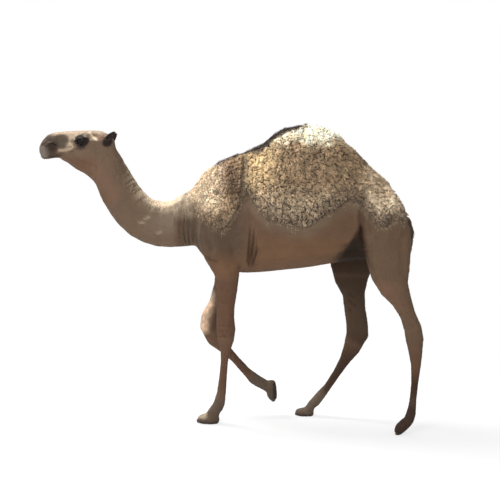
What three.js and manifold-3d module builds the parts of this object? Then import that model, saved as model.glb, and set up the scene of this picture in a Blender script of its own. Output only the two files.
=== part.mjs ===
// A dromedary camel in mid-stride, life size: left forefoot flat on the ground, right forefoot lifted,
// right hind foot set down in front, left hind foot pushing off from its toes.
// Millimetres, +Z up. The camel faces -X and its left side faces -Y. The origin is on the ground,
// under the middle of the bounding box. The solids reach out to the tips of the coat.
import * as THREE from "three";
import { mergeVertices } from "three/addons/utils/BufferGeometryUtils.js";
import Module from "manifold-3d";

const wasm = await Module();
wasm.setup();

// ---- driving dimensions ----
const gap = 0.35; // clearance left by every parting cut
const legTop = 990; // height of the cut between the trunk and all four legs
const soleDepth = 6; // how much of a level pad is pressed flat by the ground
const toeDepth = 17; // and of the pad that stands on its toes
const eyeRadius = 25;
const eyeAt = [-981, 77, 1888]; // left eye mirrored in y
const LEFT = -1;
const RIGHT = 1;

// ---- tools ----

// A manifold solid from a closed three.js geometry.
function solid(geometry) {
  const bare = new THREE.BufferGeometry();
  bare.setAttribute("position", geometry.getAttribute("position").clone());
  bare.setIndex(geometry.index);
  const merged = mergeVertices(bare, 1e-3);
  return new wasm.Manifold(
    new wasm.Mesh({
      numProp: 3,
      vertProperties: merged.attributes.position.array,
      triVerts: new Uint32Array(merged.index.array),
    }),
  );
}

// The way back: flat-shaded geometry from a manifold solid.
function geometryOf(made) {
  const mesh = made.getMesh();
  const geometry = new THREE.BufferGeometry();
  geometry.setAttribute("position", new THREE.BufferAttribute(mesh.vertProperties, 3));
  geometry.setIndex(new THREE.BufferAttribute(mesh.triVerts, 1));
  const flat = geometry.toNonIndexed();
  flat.computeVertexNormals();
  return flat;
}

const join = (...solids) => solids.reduce((sum, next) => sum.add(next));

// An ellipsoid with the given radii, turned about Y and then placed.
function ellipsoid(at, radii, segments = 10, turn = 0) {
  const geometry = new THREE.SphereGeometry(1, segments, Math.round(segments * 0.75));
  geometry.scale(...radii);
  geometry.rotateY(turn);
  geometry.translate(...at);
  return solid(geometry);
}

// Splits a solid at a plane: [the side the direction points to, the other side], with the gap between.
function split(whole, at, direction) {
  const n = new THREE.Vector3(...direction).normalize();
  const d = n.dot(new THREE.Vector3(...at));
  return [
    whole.trimByPlane(n.toArray(), d + gap / 2),
    whole.trimByPlane(n.clone().negate().toArray(), -d + gap / 2),
  ];
}

// A box used only to cut.
const cutter = (at, size) => solid(new THREE.BoxGeometry(...size).translate(...at));

// A flesh form that follows a line of stations. Each station has its centre (at), half its thickness
// across the line in the side view (deep), half its width (wide), how much narrower it is on its
// upper side (egg) and how square it is (round 1 is an ellipse, less is boxier).
// Upright forms keep every section vertical; others turn each section square to the line.
function flesh(stations, { sides = 12, step = 100, upright = false, ends = [0.5, 0.5] } = {}) {
  const numbers = stations.map((s) => [...s.at, s.deep, s.wide, s.egg ?? 0, s.round ?? 1]);
  const along = [0];
  for (let i = 1; i < stations.length; i++) {
    const a = new THREE.Vector3(...stations[i - 1].at);
    along.push(along[i - 1] + a.distanceTo(new THREE.Vector3(...stations[i].at)));
  }
  const size = numbers[0].length;
  const curve = new THREE.CubicInterpolant(along, numbers.flat(), size);
  const read = (t) => Array.from(curve.evaluate(t));
  const length = along.at(-1);
  // One ring at every station, and more between stations that lie far apart.
  const stops = [0];
  for (let i = 1; i < along.length; i++) {
    const span = along[i] - along[i - 1];
    const parts = Math.max(1, Math.round(span / step));
    for (let k = 1; k <= parts; k++) stops.push(along[i - 1] + (span * k) / parts);
  }

  const frameAt = (t) => {
    const here = read(t);
    const nearby = 1;
    const before = read(Math.max(0, t - nearby));
    const after = read(Math.min(length, t + nearby));
    const tangent = new THREE.Vector3(after[0] - before[0], after[1] - before[1], after[2] - before[2]);
    tangent.normalize();
    const side = new THREE.Vector3(0, 1, 0);
    const up = upright
      ? new THREE.Vector3(0, 0, 1)
      : new THREE.Vector3().crossVectors(tangent, side).normalize();
    return { here, tangent, side, up };
  };

  const rings = [];
  const addRing = ({ here, tangent, side, up }, shift, scale) => {
    const [x, y, z, deep, wide, egg, round] = here;
    const centre = new THREE.Vector3(x, y, z).addScaledVector(tangent, shift);
    const ring = [];
    for (let i = 0; i < sides; i++) {
      const angle = (2 * Math.PI * i) / sides;
      const c = Math.sign(Math.cos(angle)) * Math.abs(Math.cos(angle)) ** round;
      const s = Math.sign(Math.sin(angle)) * Math.abs(Math.sin(angle)) ** round;
      ring.push(
        centre
          .clone()
          .addScaledVector(up, scale * deep * s)
          .addScaledVector(side, scale * wide * c * (1 - egg * s)),
      );
    }
    rings.push(ring);
  };

  // Each end is domed, by a share of the end section's smaller half size.
  const domeSteps = sides > 16 ? [0.45, 0.8] : [0.7];
  const endFrames = [frameAt(0), frameAt(length)];
  const domes = endFrames.map((f, k) => ends[k] * Math.min(f.here[3], f.here[4]));
  const pole = (k, sign) => {
    const f = endFrames[k];
    return new THREE.Vector3(f.here[0], f.here[1], f.here[2]).addScaledVector(f.tangent, sign * domes[k]);
  };
  for (const s of [...domeSteps].reverse()) addRing(endFrames[0], -s * domes[0], Math.sqrt(1 - s * s));
  for (const stop of stops) addRing(frameAt(stop), 0, 1);
  for (const s of domeSteps) addRing(endFrames[1], s * domes[1], Math.sqrt(1 - s * s));

  const points = [...rings.flat(), pole(0, -1), pole(1, 1)];
  const index = [];
  const at = (r, i) => r * sides + (i % sides);
  for (let r = 0; r + 1 < rings.length; r++)
    for (let i = 0; i < sides; i++) {
      index.push(at(r, i), at(r, i + 1), at(r + 1, i + 1));
      index.push(at(r, i), at(r + 1, i + 1), at(r + 1, i));
    }
  const [first, last] = [points.length - 2, points.length - 1];
  for (let i = 0; i < sides; i++) {
    index.push(first, at(0, i + 1), at(0, i));
    index.push(last, at(rings.length - 1, i), at(rings.length - 1, i + 1));
  }
  const geometry = new THREE.BufferGeometry().setFromPoints(points);
  geometry.setIndex(index);
  return solid(geometry);
}

// Stations given by their outline in the side view: x, top and bottom.
const profile = (rows) =>
  rows.map(({ x, top, bottom, ...rest }) => ({
    at: [x, 0, (top + bottom) / 2],
    deep: (top - bottom) / 2,
    ...rest,
  }));

// ---- trunk and hump ----
function barrelBody() {
  return flesh(
    profile([
      { x: -222, top: 1552, bottom: 1192, wide: 112, egg: 0.12 },
      { x: -150, top: 1676, bottom: 1104, wide: 162, egg: 0.22 }, // breast
      { x: -56, top: 1762, bottom: 1036, wide: 192, egg: 0.3 }, // withers
      { x: 60, top: 1812, bottom: 1006, wide: 218, egg: 0.32 },
      { x: 231, top: 1822, bottom: 1010, wide: 256, egg: 0.26 },
      { x: 400, top: 1790, bottom: 1030, wide: 280, egg: 0.22 }, // widest ribs
      { x: 560, top: 1765, bottom: 1050, wide: 286, egg: 0.2 },
      { x: 720, top: 1740, bottom: 1080, wide: 272, egg: 0.18 },
      { x: 860, top: 1730, bottom: 1100, wide: 248, egg: 0.18 }, // flank
      { x: 975, top: 1706, bottom: 1104, wide: 224, egg: 0.18 },
      { x: 1075, top: 1614, bottom: 1106, wide: 184, egg: 0.18 }, // rump
      { x: 1126, top: 1510, bottom: 1130, wide: 136, egg: 0.18 },
    ]),
    { sides: 22, upright: true, ends: [0.3, 0.26] },
  );
}

function humpBody() {
  return flesh(
    profile([
      { x: 110, top: 1820, bottom: 1560, wide: 70 },
      { x: 231, top: 1886, bottom: 1480, wide: 140 },
      { x: 300, top: 1942, bottom: 1440, wide: 176 },
      { x: 380, top: 1990, bottom: 1410, wide: 200 },
      { x: 480, top: 2010, bottom: 1400, wide: 212 },
      { x: 580, top: 2002, bottom: 1400, wide: 212 },
      { x: 692, top: 1970, bottom: 1410, wide: 206 },
      { x: 760, top: 1916, bottom: 1420, wide: 198 },
      { x: 844, top: 1836, bottom: 1440, wide: 182 },
      { x: 940, top: 1738, bottom: 1460, wide: 150 },
      { x: 1010, top: 1668, bottom: 1480, wide: 104 },
    ]).map((s) => ({ ...s, egg: 0.18 })),
    { sides: 16, upright: true, ends: [0.4, 0.4] },
  );
}

// The horny pad under the breast that a lying camel rests on.
const breastPad = () => ellipsoid([8, 0, 1019], [74, 52, 26], 8);

// ---- neck ----
function neckBody() {
  return flesh(
    [
      { at: [-60, 0, 1388], deep: 208, wide: 146 },
      { at: [-215, 0, 1369], deep: 194, wide: 132 },
      { at: [-340, 0, 1336], deep: 166, wide: 112 },
      { at: [-462, 0, 1331], deep: 160, wide: 96 },
      { at: [-593, 0, 1376], deep: 151, wide: 85 },
      { at: [-694, 0, 1477], deep: 143, wide: 78 },
      { at: [-764, 0, 1589], deep: 136, wide: 73 },
      { at: [-820, 0, 1692], deep: 130, wide: 69 },
      { at: [-867, 0, 1785], deep: 127, wide: 65 },
    ].map((s) => ({ ...s, round: 0.92 })),
    { sides: 14, step: 80 },
  );
}

// ---- head ----
function headBody() {
  const skull = flesh(
    profile([
      { x: -1292, top: 1876, bottom: 1798, wide: 36, egg: 0 },
      { x: -1276, top: 1902, bottom: 1786, wide: 45, egg: 0 }, // upper lip
      { x: -1243, top: 1936, bottom: 1782, wide: 52, egg: 0.1 }, // nostrils
      { x: -1200, top: 1953, bottom: 1785, wide: 50, egg: 0.12 },
      { x: -1150, top: 1958, bottom: 1780, wide: 48, egg: 0.08 }, // bridge of the nose
      { x: -1095, top: 1962, bottom: 1765, wide: 54, egg: 0 },
      { x: -1040, top: 1964, bottom: 1740, wide: 70, egg: -0.04 },
      { x: -980, top: 1965, bottom: 1715, wide: 80, egg: -0.06 }, // orbits
      { x: -920, top: 1966, bottom: 1690, wide: 77, egg: 0 },
      { x: -860, top: 1963, bottom: 1700, wide: 69, egg: 0.08 }, // crown
      { x: -815, top: 1942, bottom: 1730, wide: 59, egg: 0.1 }, // poll
      { x: -786, top: 1914, bottom: 1752, wide: 52, egg: 0.1 },
    ]).map((s) => ({ ...s, round: 0.88 })),
    { sides: 14, upright: true, ends: [0.36, 0.5] },
  );
  const jaw = flesh(
    profile([
      { x: -1274, top: 1830, bottom: 1768, wide: 31 }, // lower lip
      { x: -1215, top: 1840, bottom: 1770, wide: 37 },
      { x: -1160, top: 1850, bottom: 1770, wide: 38 },
      { x: -1105, top: 1850, bottom: 1742, wide: 45 },
      { x: -1045, top: 1850, bottom: 1698, wide: 56 },
      { x: -985, top: 1850, bottom: 1657, wide: 66 }, // angle of the jaw
      { x: -930, top: 1830, bottom: 1612, wide: 70 },
      { x: -880, top: 1800, bottom: 1616, wide: 66 },
    ]).map((s) => ({ ...s, round: 0.9 })),
    { sides: 12, upright: true, ends: [0.5, 0.5] },
  );
  const bumps = [LEFT, RIGHT].flatMap((side) => [
    ellipsoid([-985, side * 60, 1892], [54, 36, 42], 8), // rim of the orbit
    ellipsoid([-1236, side * 35, 1868], [38, 21, 40], 6, 0.4), // wing of the nostril
  ]);
  return join(skull, jaw, ...bumps);
}

// One ear, a cupped leaf that opens outwards. In its own frame its base is at the origin and its
// tip is along +Z; the part below rootHeight belongs to the head.
const ear = { length: 106, rootHeight: 16, at: [-834, 38, 1887] };

// The left ear is laid back along the neck; the right one is turned out to the side.
const earPose = {
  [LEFT]: { lean: 0.98, splay: 0.16, twist: 0.1 },
  [RIGHT]: { lean: 0.7, splay: 0.78, twist: 0.12 },
};

function earLeaf(side, grow = 0) {
  const leaf = (extra) =>
    flesh(
      [
        { at: [0, 0, -14], deep: 15 + extra, wide: 14 + extra },
        { at: [2, 0, 0.2 * ear.length], deep: 23 + extra, wide: 15 + extra },
        { at: [4, 0, 0.48 * ear.length], deep: 28 + extra, wide: 14 + extra },
        { at: [0, 0, 0.74 * ear.length], deep: 22 + extra, wide: 11 + extra },
        { at: [-6, 0, 0.95 * ear.length], deep: 9 + extra, wide: 7 + extra },
      ],
      { sides: 8 },
    );
  const hollow = leaf(-5 - grow).translate([-4, side * 9, 10]);
  return leaf(grow).subtract(hollow);
}

function earPlaced(made, side) {
  const { lean, splay, twist } = earPose[side];
  const place = new THREE.Object3D();
  place.position.set(ear.at[0], side * ear.at[1], ear.at[2]);
  place.rotation.set(-side * splay, lean, side * twist, "ZYX");
  place.updateMatrix();
  return made.transform(place.matrix.elements);
}

// ---- legs ----

// The broad pad of a foot in its own frame: the toe tips at the origin, the heel towards +X and
// the sole level.
const pad = { length: 150, halfWidth: 62, cleft: 7, cleftLength: 64 };

function padBody() {
  const { length, halfWidth, cleft, cleftLength } = pad;
  const cushion = flesh(
    [
      { at: [0.92 * length, 0, 27], deep: 25, wide: 0.62 * halfWidth },
      { at: [0.66 * length, 0, 35], deep: 38, wide: 0.95 * halfWidth },
      { at: [0.3 * length, 0, 35], deep: 38, wide: 0.96 * halfWidth },
      { at: [9, 0, 27], deep: 27, wide: 0.66 * halfWidth },
    ],
    { sides: 10, ends: [0.3, 0.3] },
  );
  const clear = 24; // how far the cleft's cutter starts ahead of the toes
  const middle = (cleftLength - clear) / 2;
  return cushion.subtract(cutter([middle, 0, 40], [cleftLength + clear, cleft, 120]));
}

// One of the two toenails of a foot, in the frame of the pad.
const toenail = (side, grow = 0) =>
  ellipsoid([7, side * 24, 26], [14, 13, 19].map((r) => r + grow), 6);

// Sets a pad, or its nail, down with the toe tips at a point. A negative pitch lifts the heel.
function placed(made, { toe, pitch, size }) {
  const place = new THREE.Object3D();
  place.position.set(...toe);
  place.rotation.set(0, pitch, 0);
  place.scale.set(size, size, size);
  place.updateMatrix();
  return made.transform(place.matrix.elements);
}

// Each leg: how its foot is set, its line of stations from inside the trunk down to the instep,
// and the two parting cuts, just below the middle joint and above the fetlock.
const legs = {
  foreleg_left: {
    foot: { toe: [-178, -124, -soleDepth], pitch: 0, size: 1 },
    line: [
      { at: [40, -96, 1580], deep: 80, wide: 44 },
      { at: [-10, -132, 1440], deep: 130, wide: 78 }, // shoulder blade
      { at: [-36, -150, 1280], deep: 148, wide: 82 }, // point of the shoulder
      { at: [0, -160, 1130], deep: 122, wide: 74 },
      { at: [29, -162, 1015], deep: 88, wide: 65 }, // elbow
      { at: [27, -158, 930], deep: 77, wide: 58 },
      { at: [17, -150, 800], deep: 65, wide: 52 },
      { at: [14, -144, 720], deep: 64, wide: 50 },
      { at: [18, -140, 645], deep: 68, wide: 54 }, // knee
      { at: [14, -137, 570], deep: 60, wide: 48 },
      { at: [13, -135, 505], deep: 38, wide: 36 },
      { at: [5, -133, 430], deep: 28, wide: 29 },
      { at: [-5, -131, 320], deep: 29, wide: 28 },
      { at: [-16, -129, 215], deep: 34, wide: 32 },
      { at: [-29, -127, 148], deep: 39, wide: 38 }, // fetlock
      { at: [-46, -126, 106], deep: 42, wide: 43 },
      { at: [-84, -125, 66], deep: 43, wide: 47 },
    ],
    joint: { at: [14, -137, 590], along: [0, 0, -1] },
    ankle: { at: [-15, -128, 180], along: [-0.25, 0, -1] },
  },
  foreleg_right: {
    foot: { toe: [329, 132, 108], pitch: -1.66, size: 0.97 },
    line: [
      { at: [30, 96, 1580], deep: 80, wide: 44 },
      { at: [-30, 132, 1440], deep: 130, wide: 78 },
      { at: [-66, 150, 1280], deep: 148, wide: 82 },
      { at: [-36, 162, 1130], deep: 124, wide: 74 },
      { at: [-22, 164, 1015], deep: 94, wide: 64 },
      { at: [-48, 160, 900], deep: 76, wide: 57 },
      { at: [-84, 154, 780], deep: 71, wide: 52 },
      { at: [-118, 150, 684], deep: 77, wide: 53 },
      { at: [-138, 148, 606], deep: 80, wide: 54 }, // knee, bent
      { at: [-102, 145, 520], deep: 66, wide: 48 },
      { at: [-30, 141, 447], deep: 38, wide: 34 },
      { at: [40, 138, 377], deep: 31, wide: 29 },
      { at: [110, 135, 304], deep: 34, wide: 29 },
      { at: [163, 133, 255], deep: 41, wide: 35 },
      { at: [198, 132, 234], deep: 41, wide: 38 }, // fetlock
      { at: [236, 132, 214], deep: 38, wide: 42 },
      { at: [272, 132, 186], deep: 30, wide: 45 },
    ],
    joint: { at: [-126, 148, 574], along: [0.62, 0, -0.78] },
    ankle: { at: [144, 133, 270], along: [0.8, 0, -0.6] },
  },
  hindleg_left: {
    foot: { toe: [1157, -190, -toeDepth], pitch: -0.8, size: 0.95 },
    line: [
      { at: [1010, -90, 1560], deep: 100, wide: 50 },
      { at: [1030, -126, 1430], deep: 150, wide: 92 }, // haunch
      { at: [1060, -152, 1295], deep: 168, wide: 96 },
      { at: [1068, -172, 1165], deep: 152, wide: 84 }, // stifle
      { at: [1088, -182, 1030], deep: 128, wide: 72 },
      { at: [1114, -186, 945], deep: 98, wide: 62 },
      { at: [1161, -187, 865], deep: 70, wide: 53 },
      { at: [1199, -187, 780], deep: 55, wide: 45 },
      { at: [1234, -187, 690], deep: 61, wide: 42 },
      { at: [1246, -187, 620], deep: 62, wide: 44 }, // hock
      { at: [1253, -188, 540], deep: 48, wide: 40 },
      { at: [1257, -189, 450], deep: 35, wide: 32 },
      { at: [1251, -190, 340], deep: 26, wide: 28 },
      { at: [1244, -190, 250], deep: 25, wide: 28 },
      { at: [1238, -190, 188], deep: 26, wide: 32 },
      { at: [1232, -190, 142], deep: 32, wide: 39 }, // fetlock
      { at: [1219, -190, 98], deep: 34, wide: 42 },
      { at: [1199, -190, 62], deep: 29, wide: 44 },
    ],
    joint: { at: [1250, -187, 570], along: [0, 0, -1] },
    ankle: { at: [1241, -190, 214], along: [0, 0, -1] },
  },
  hindleg_right: {
    foot: { toe: [454, 158, -soleDepth], pitch: 0, size: 0.88 },
    line: [
      { at: [1000, 90, 1560], deep: 100, wide: 50 },
      { at: [975, 126, 1430], deep: 158, wide: 92 },
      { at: [922, 152, 1295], deep: 190, wide: 96 },
      { at: [856, 170, 1165], deep: 174, wide: 84 }, // stifle
      { at: [826, 174, 1040], deep: 148, wide: 73 },
      { at: [830, 172, 945], deep: 118, wide: 62 },
      { at: [846, 168, 850], deep: 81, wide: 54 },
      { at: [855, 163, 750], deep: 77, wide: 48 },
      { at: [870, 158, 660], deep: 79, wide: 46 },
      { at: [874, 156, 580], deep: 82, wide: 46 }, // hock
      { at: [837, 155, 486], deep: 62, wide: 40 },
      { at: [791, 156, 400], deep: 41, wide: 32 },
      { at: [738, 157, 310], deep: 31, wide: 28 },
      { at: [675, 158, 210], deep: 29, wide: 29 },
      { at: [620, 158, 140], deep: 34, wide: 36 }, // fetlock
      { at: [588, 158, 98], deep: 35, wide: 41 },
      { at: [544, 158, 56], deep: 31, wide: 44 },
    ],
    joint: { at: [854, 155, 540], along: [-0.5, 0, -0.87] },
    ankle: { at: [650, 158, 180], along: [-0.6, 0, -0.8] },
  },
};

// ---- tail ----
const tailRoot = { at: [1187, 0, 1388], along: [0.38, 0, -0.92] };

function tailBody(grow = 0) {
  return flesh(
    [
      { at: [1080, 0, 1530], deep: 26, wide: 28 },
      { at: [1138, 0, 1460], deep: 32, wide: 34 },
      { at: [1190, 0, 1378], deep: 27, wide: 28 },
      { at: [1219, 0, 1292], deep: 24, wide: 21 },
      { at: [1213, 0, 1205], deep: 21, wide: 18 },
      { at: [1190, 0, 1110], deep: 22, wide: 22 }, // tuft
      { at: [1168, 0, 1012], deep: 21, wide: 24 },
      { at: [1154, 0, 922], deep: 8, wide: 9 },
    ].map((s) => ({ ...s, deep: s.deep + grow, wide: s.wide + grow })),
    { sides: 8 },
  );
}

// ---- the parts ----
const nodes = {};
const ground = cutter([0, 0, -500], [4000, 2000, 1000]);

// Legs: what lies below the height of the elbows stands alone, the rest joins the trunk.
const shouldersAndHaunches = [];
for (const [name, leg] of Object.entries(legs)) {
  const shape = join(flesh(leg.line, { ends: [0.6, 0.5] }), placed(padBody(), leg.foot));
  const [standing, inTrunk] = split(shape.subtract(ground), [0, 0, legTop], [0, 0, -1]);
  shouldersAndHaunches.push(inTrunk);
  const [lower, upper] = split(standing, leg.joint.at, leg.joint.along);
  const [end, shaft] = split(lower, leg.ankle.at, leg.ankle.along);
  nodes[`${name}_upper`] = upper;
  nodes[`${name}_lower`] = shaft;
  nodes[`${name}_foot`] = end;
  for (const [which, side] of [["left", LEFT], ["right", RIGHT]]) {
    nodes[`${name}_toenail_${which}`] = placed(toenail(side), leg.foot).subtract(ground);
    const bed = placed(toenail(side, gap), leg.foot);
    nodes[`${name}_foot`] = nodes[`${name}_foot`].subtract(bed);
  }
}

// Head and neck.
const eye = (side, grow = 0) =>
  ellipsoid([eyeAt[0], side * eyeAt[1], eyeAt[2]], Array(3).fill(eyeRadius + grow), 8);
const earBase = { at: [0, 0, ear.rootHeight], along: [0, 0, 1] };
let head = headBody();
for (const [which, side] of [["left", LEFT], ["right", RIGHT]]) {
  const [free, root] = split(earLeaf(side), earBase.at, earBase.along);
  const [slot] = split(earLeaf(side, gap), earBase.at, earBase.along);
  nodes[`ear_${which}`] = earPlaced(free, side);
  nodes[`eye_${which}`] = eye(side);
  head = head
    .add(earPlaced(root, side))
    .subtract(earPlaced(slot, side))
    .subtract(eye(side, gap));
}

const body = join(barrelBody(), humpBody(), breastPad(), neckBody(), head, ...shouldersAndHaunches);
const tail = split(tailBody(), tailRoot.at, tailRoot.along);
nodes.tail = tail[0];
const whole = body.add(tail[1]).subtract(split(tailBody(gap), tailRoot.at, tailRoot.along)[0]);

// The body from the muzzle backwards, one thin cut after another.
const cuts = [
  { name: "head", at: [-845, 0, 1740], along: [-0.9, 0, 0.44] },
  { name: "neck_upper", at: [-694, 0, 1476], along: [-0.84, 0, 0.545] },
  { name: "neck_lower", at: [-318, 0, 1345], along: [-1, 0, 0.12] },
];
let rest = whole;
for (const { name, at, along } of cuts) [nodes[name], rest] = split(rest, at, along);
[nodes.hump, rest] = split(rest, [150, 0, 1812], [0.12, 0, 0.99]);
[nodes.forequarters, rest] = split(rest, [175, 0, 1400], [-1, 0, 0]);
[nodes.hindquarters, nodes.barrel] = split(rest, [835, 0, 1400], [1, 0, 0]);

// ---- finish of each kind of node ----
const finishes = {
  coat: new THREE.MeshStandardMaterial({ color: 0xa58b6c, roughness: 0.95, metalness: 0 }),
  hump: new THREE.MeshStandardMaterial({ color: 0xc9b08a, roughness: 1, metalness: 0 }),
  eye: new THREE.MeshStandardMaterial({ color: 0x1c130f, roughness: 0.08, metalness: 0 }),
  toenail: new THREE.MeshStandardMaterial({ color: 0x3b3028, roughness: 0.5, metalness: 0 }),
};
const kindOf = (name) => ["eye", "toenail", "hump"].find((kind) => name.includes(kind)) ?? "coat";

// A group placed at its own pivot, holding the meshes whose names pass the test.
const unplaced = new Map(Object.entries(nodes));
function assembly(pivot, belongs) {
  const group = new THREE.Group();
  group.position.set(...pivot);
  for (const [name, made] of [...unplaced].filter(([name]) => belongs(name))) {
    const geometry = geometryOf(made).translate(-pivot[0], -pivot[1], -pivot[2]);
    const mesh = new THREE.Mesh(geometry, finishes[kindOf(name)]);
    mesh.name = name;
    group.add(mesh);
    unplaced.delete(name);
  }
  return group;
}

const camel = new THREE.Group();
for (const [name, leg] of Object.entries(legs))
  camel.add(assembly(leg.joint.at, (node) => node.startsWith(name)));
camel.add(assembly([-830, 0, 1780], (node) => /^(head|ear|eye)/.test(node)));
camel.add(assembly([0, 0, 1400], () => true));

export default camel;
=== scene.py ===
"""The looks of a dromedary camel in mid-stride.

One skin covers the whole body. Over it lie a short flat coat, a curly fleece on hump, shoulders
and rump, a dark crest along the back, and the small hairs of nape, tail, ears and eyes.
Everything is in metres. The camel faces -X, its left side faces -Y and the ground is Z = 0.
"""
import math

import bmesh
import bpy
import numpy as np
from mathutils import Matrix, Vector
from mathutils.bvhtree import BVHTree
from mathutils.kdtree import KDTree


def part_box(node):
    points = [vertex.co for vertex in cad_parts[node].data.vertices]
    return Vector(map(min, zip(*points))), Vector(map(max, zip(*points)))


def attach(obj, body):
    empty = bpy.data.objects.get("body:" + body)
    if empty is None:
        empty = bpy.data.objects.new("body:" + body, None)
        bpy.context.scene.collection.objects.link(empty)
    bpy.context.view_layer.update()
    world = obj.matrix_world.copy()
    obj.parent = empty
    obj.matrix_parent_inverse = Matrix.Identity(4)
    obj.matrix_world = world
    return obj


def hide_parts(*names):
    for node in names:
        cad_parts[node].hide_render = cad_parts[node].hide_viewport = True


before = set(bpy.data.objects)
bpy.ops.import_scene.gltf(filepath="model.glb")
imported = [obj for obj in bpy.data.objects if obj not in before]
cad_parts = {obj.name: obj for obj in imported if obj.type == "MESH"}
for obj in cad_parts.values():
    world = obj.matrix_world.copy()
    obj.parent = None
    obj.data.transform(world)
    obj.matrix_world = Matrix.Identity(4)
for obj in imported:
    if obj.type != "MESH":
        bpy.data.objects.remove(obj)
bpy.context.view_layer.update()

LEGS = ("foreleg_left", "foreleg_right", "hindleg_left", "hindleg_right")
LEG_PARTS = [f"{leg}_{part}" for leg in LEGS for part in ("upper", "lower", "foot")]
UPPER_LEGS = [f"{leg}_upper" for leg in LEGS]
SHANKS = [f"{leg}_lower" for leg in LEGS]
FEET = [f"{leg}_foot" for leg in LEGS]
TRUNK = ["forequarters", "barrel", "hindquarters", "hump"]
EARS = ["ear_left", "ear_right"]
NECK = ["neck_upper", "neck_lower"]
FLESH = ["head", *EARS, *NECK, *TRUNK, "tail", *LEG_PARTS]
NAILS = [f"{leg}_toenail_{side}" for leg in LEGS for side in ("left", "right")]
SIDES = {"left": -1, "right": 1}

WELD = 0.00001  # points nearer than this become one
PATCH = 0.003  # size of one tuft's patch on the coat's map
ABOVE_GROUND = 0.0006  # no hair reaches lower
MOST_TRIANGLES = 200000  # in one piece of the coat
rng = np.random.default_rng(7)
thin = 1.0  # share of the coat that is made


# ---- small tools ----

def smooth(low, high, x):
    t = np.clip((x - low) / (high - low), 0, 1)
    return t * t * (3 - 2 * t)


def total(part, names):
    """The shares of several solids together."""
    return sum(part[name] for name in names)


def bell(x):
    return np.exp(-(x**2))


def dot(a, b):
    return np.einsum("ij,ij->i", a, b)


def unit(a):
    return a / np.maximum(np.linalg.norm(a, axis=-1, keepdims=True), 1e-9)


def shade(red, green, blue):
    """A colour as it is seen on a screen, made linear for the shaders."""
    c = np.array((red, green, blue)) / 255
    return np.where(c <= 0.04045, c / 12.92, ((c + 0.055) / 1.055) ** 2.4)


def mottle(p, grain, seed=0):
    """Smooth random values from -1 to 1 that change over one grain, in metres."""
    q = p / grain + seed * 17.3
    cell = np.floor(q).astype(np.int64)
    f = q - cell
    f = f * f * (3 - 2 * f)
    total = np.zeros(len(p))
    for corner in range(8):
        step = np.array([corner & 1, corner >> 1 & 1, corner >> 2])
        c = cell + step
        key = c[:, 0] * 73856093 ^ c[:, 1] * 19349663 ^ c[:, 2] * 83492791
        key = (key ^ key >> 13) * 1274126177
        value = ((key ^ key >> 16) & 0xFFFF) / 32767.5 - 1
        total += value * np.prod(np.where(step, f, 1 - f), axis=1)
    return total


def patch(p, at, size, turn=0.0, soft=0.5):
    """1 inside an ellipse of the side view, fading across its rim."""
    dx, dz = p[:, 0] - at[0], p[:, 2] - at[1]
    c, s = math.cos(turn), math.sin(turn)
    r = np.hypot((dx * c + dz * s) / size[0], (dz * c - dx * s) / size[1])
    return 1 - smooth(1 - soft, 1 + soft, r)


def off_line(p, line):
    """Distance in the side view from a line through points (x, z), and how far along it."""
    q = p[:, [0, 2]]
    best = np.full(len(p), 1e9)
    along = np.zeros(len(p))
    for k in range(len(line) - 1):
        a, b = np.array(line[k]), np.array(line[k + 1])
        ab = b - a
        t = np.clip(((q - a) @ ab) / (ab @ ab), 0, 1)
        d = np.linalg.norm(q - a - t[:, None] * ab, axis=1)
        closer = d < best
        best = np.where(closer, d, best)
        along = np.where(closer, (k + t) / (len(line) - 1), along)
    return best, along


def streak(p, line, width, fade=0.15):
    """1 on a line of the side view, falling off over its width and towards its two ends."""
    d, along = off_line(p, line)
    ends = smooth(0, fade, along) * smooth(0, fade, 1 - along) if fade else 1
    return bell(d / width) * ends


# ---- camera, ground and lamps ----

LENS = 64.74  # in millimetres
CAMERA_AT, CAMERA_AIM = (1.0439, -5.9341, 1.7), (0.157, 0, 1.16)
ROOM_LIGHT = 0.60  # how strongly the white room lights the animal
WHITE_FROM = (1.2, 3.6)  # between these distances the floor fades into the white room
LAMPS = {  # place, point aimed at, width of the disk and watts
    "high_lamp": ((-3.2, 0.9, 6.2), (0.1, 0, 1.2), 2.4, 600),
    "near_lamp": ((-2.2, -6.4, 3.4), (0, 0, 1.1), 3.4, 190),
}


def aim(thing, target):
    thing.rotation_euler = (Vector(target) - thing.location).to_track_quat("-Z", "Y").to_euler()


def new_object(name, data):
    thing = bpy.data.objects.new(name, data)
    bpy.context.scene.collection.objects.link(thing)
    return thing


def lamp(name, at, target, size, watts):
    light = bpy.data.lights.new(name, "AREA")
    light.shape = "DISK"
    light.size = size
    light.energy = watts
    thing = new_object(name, light)
    thing.location = at
    aim(thing, target)


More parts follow.
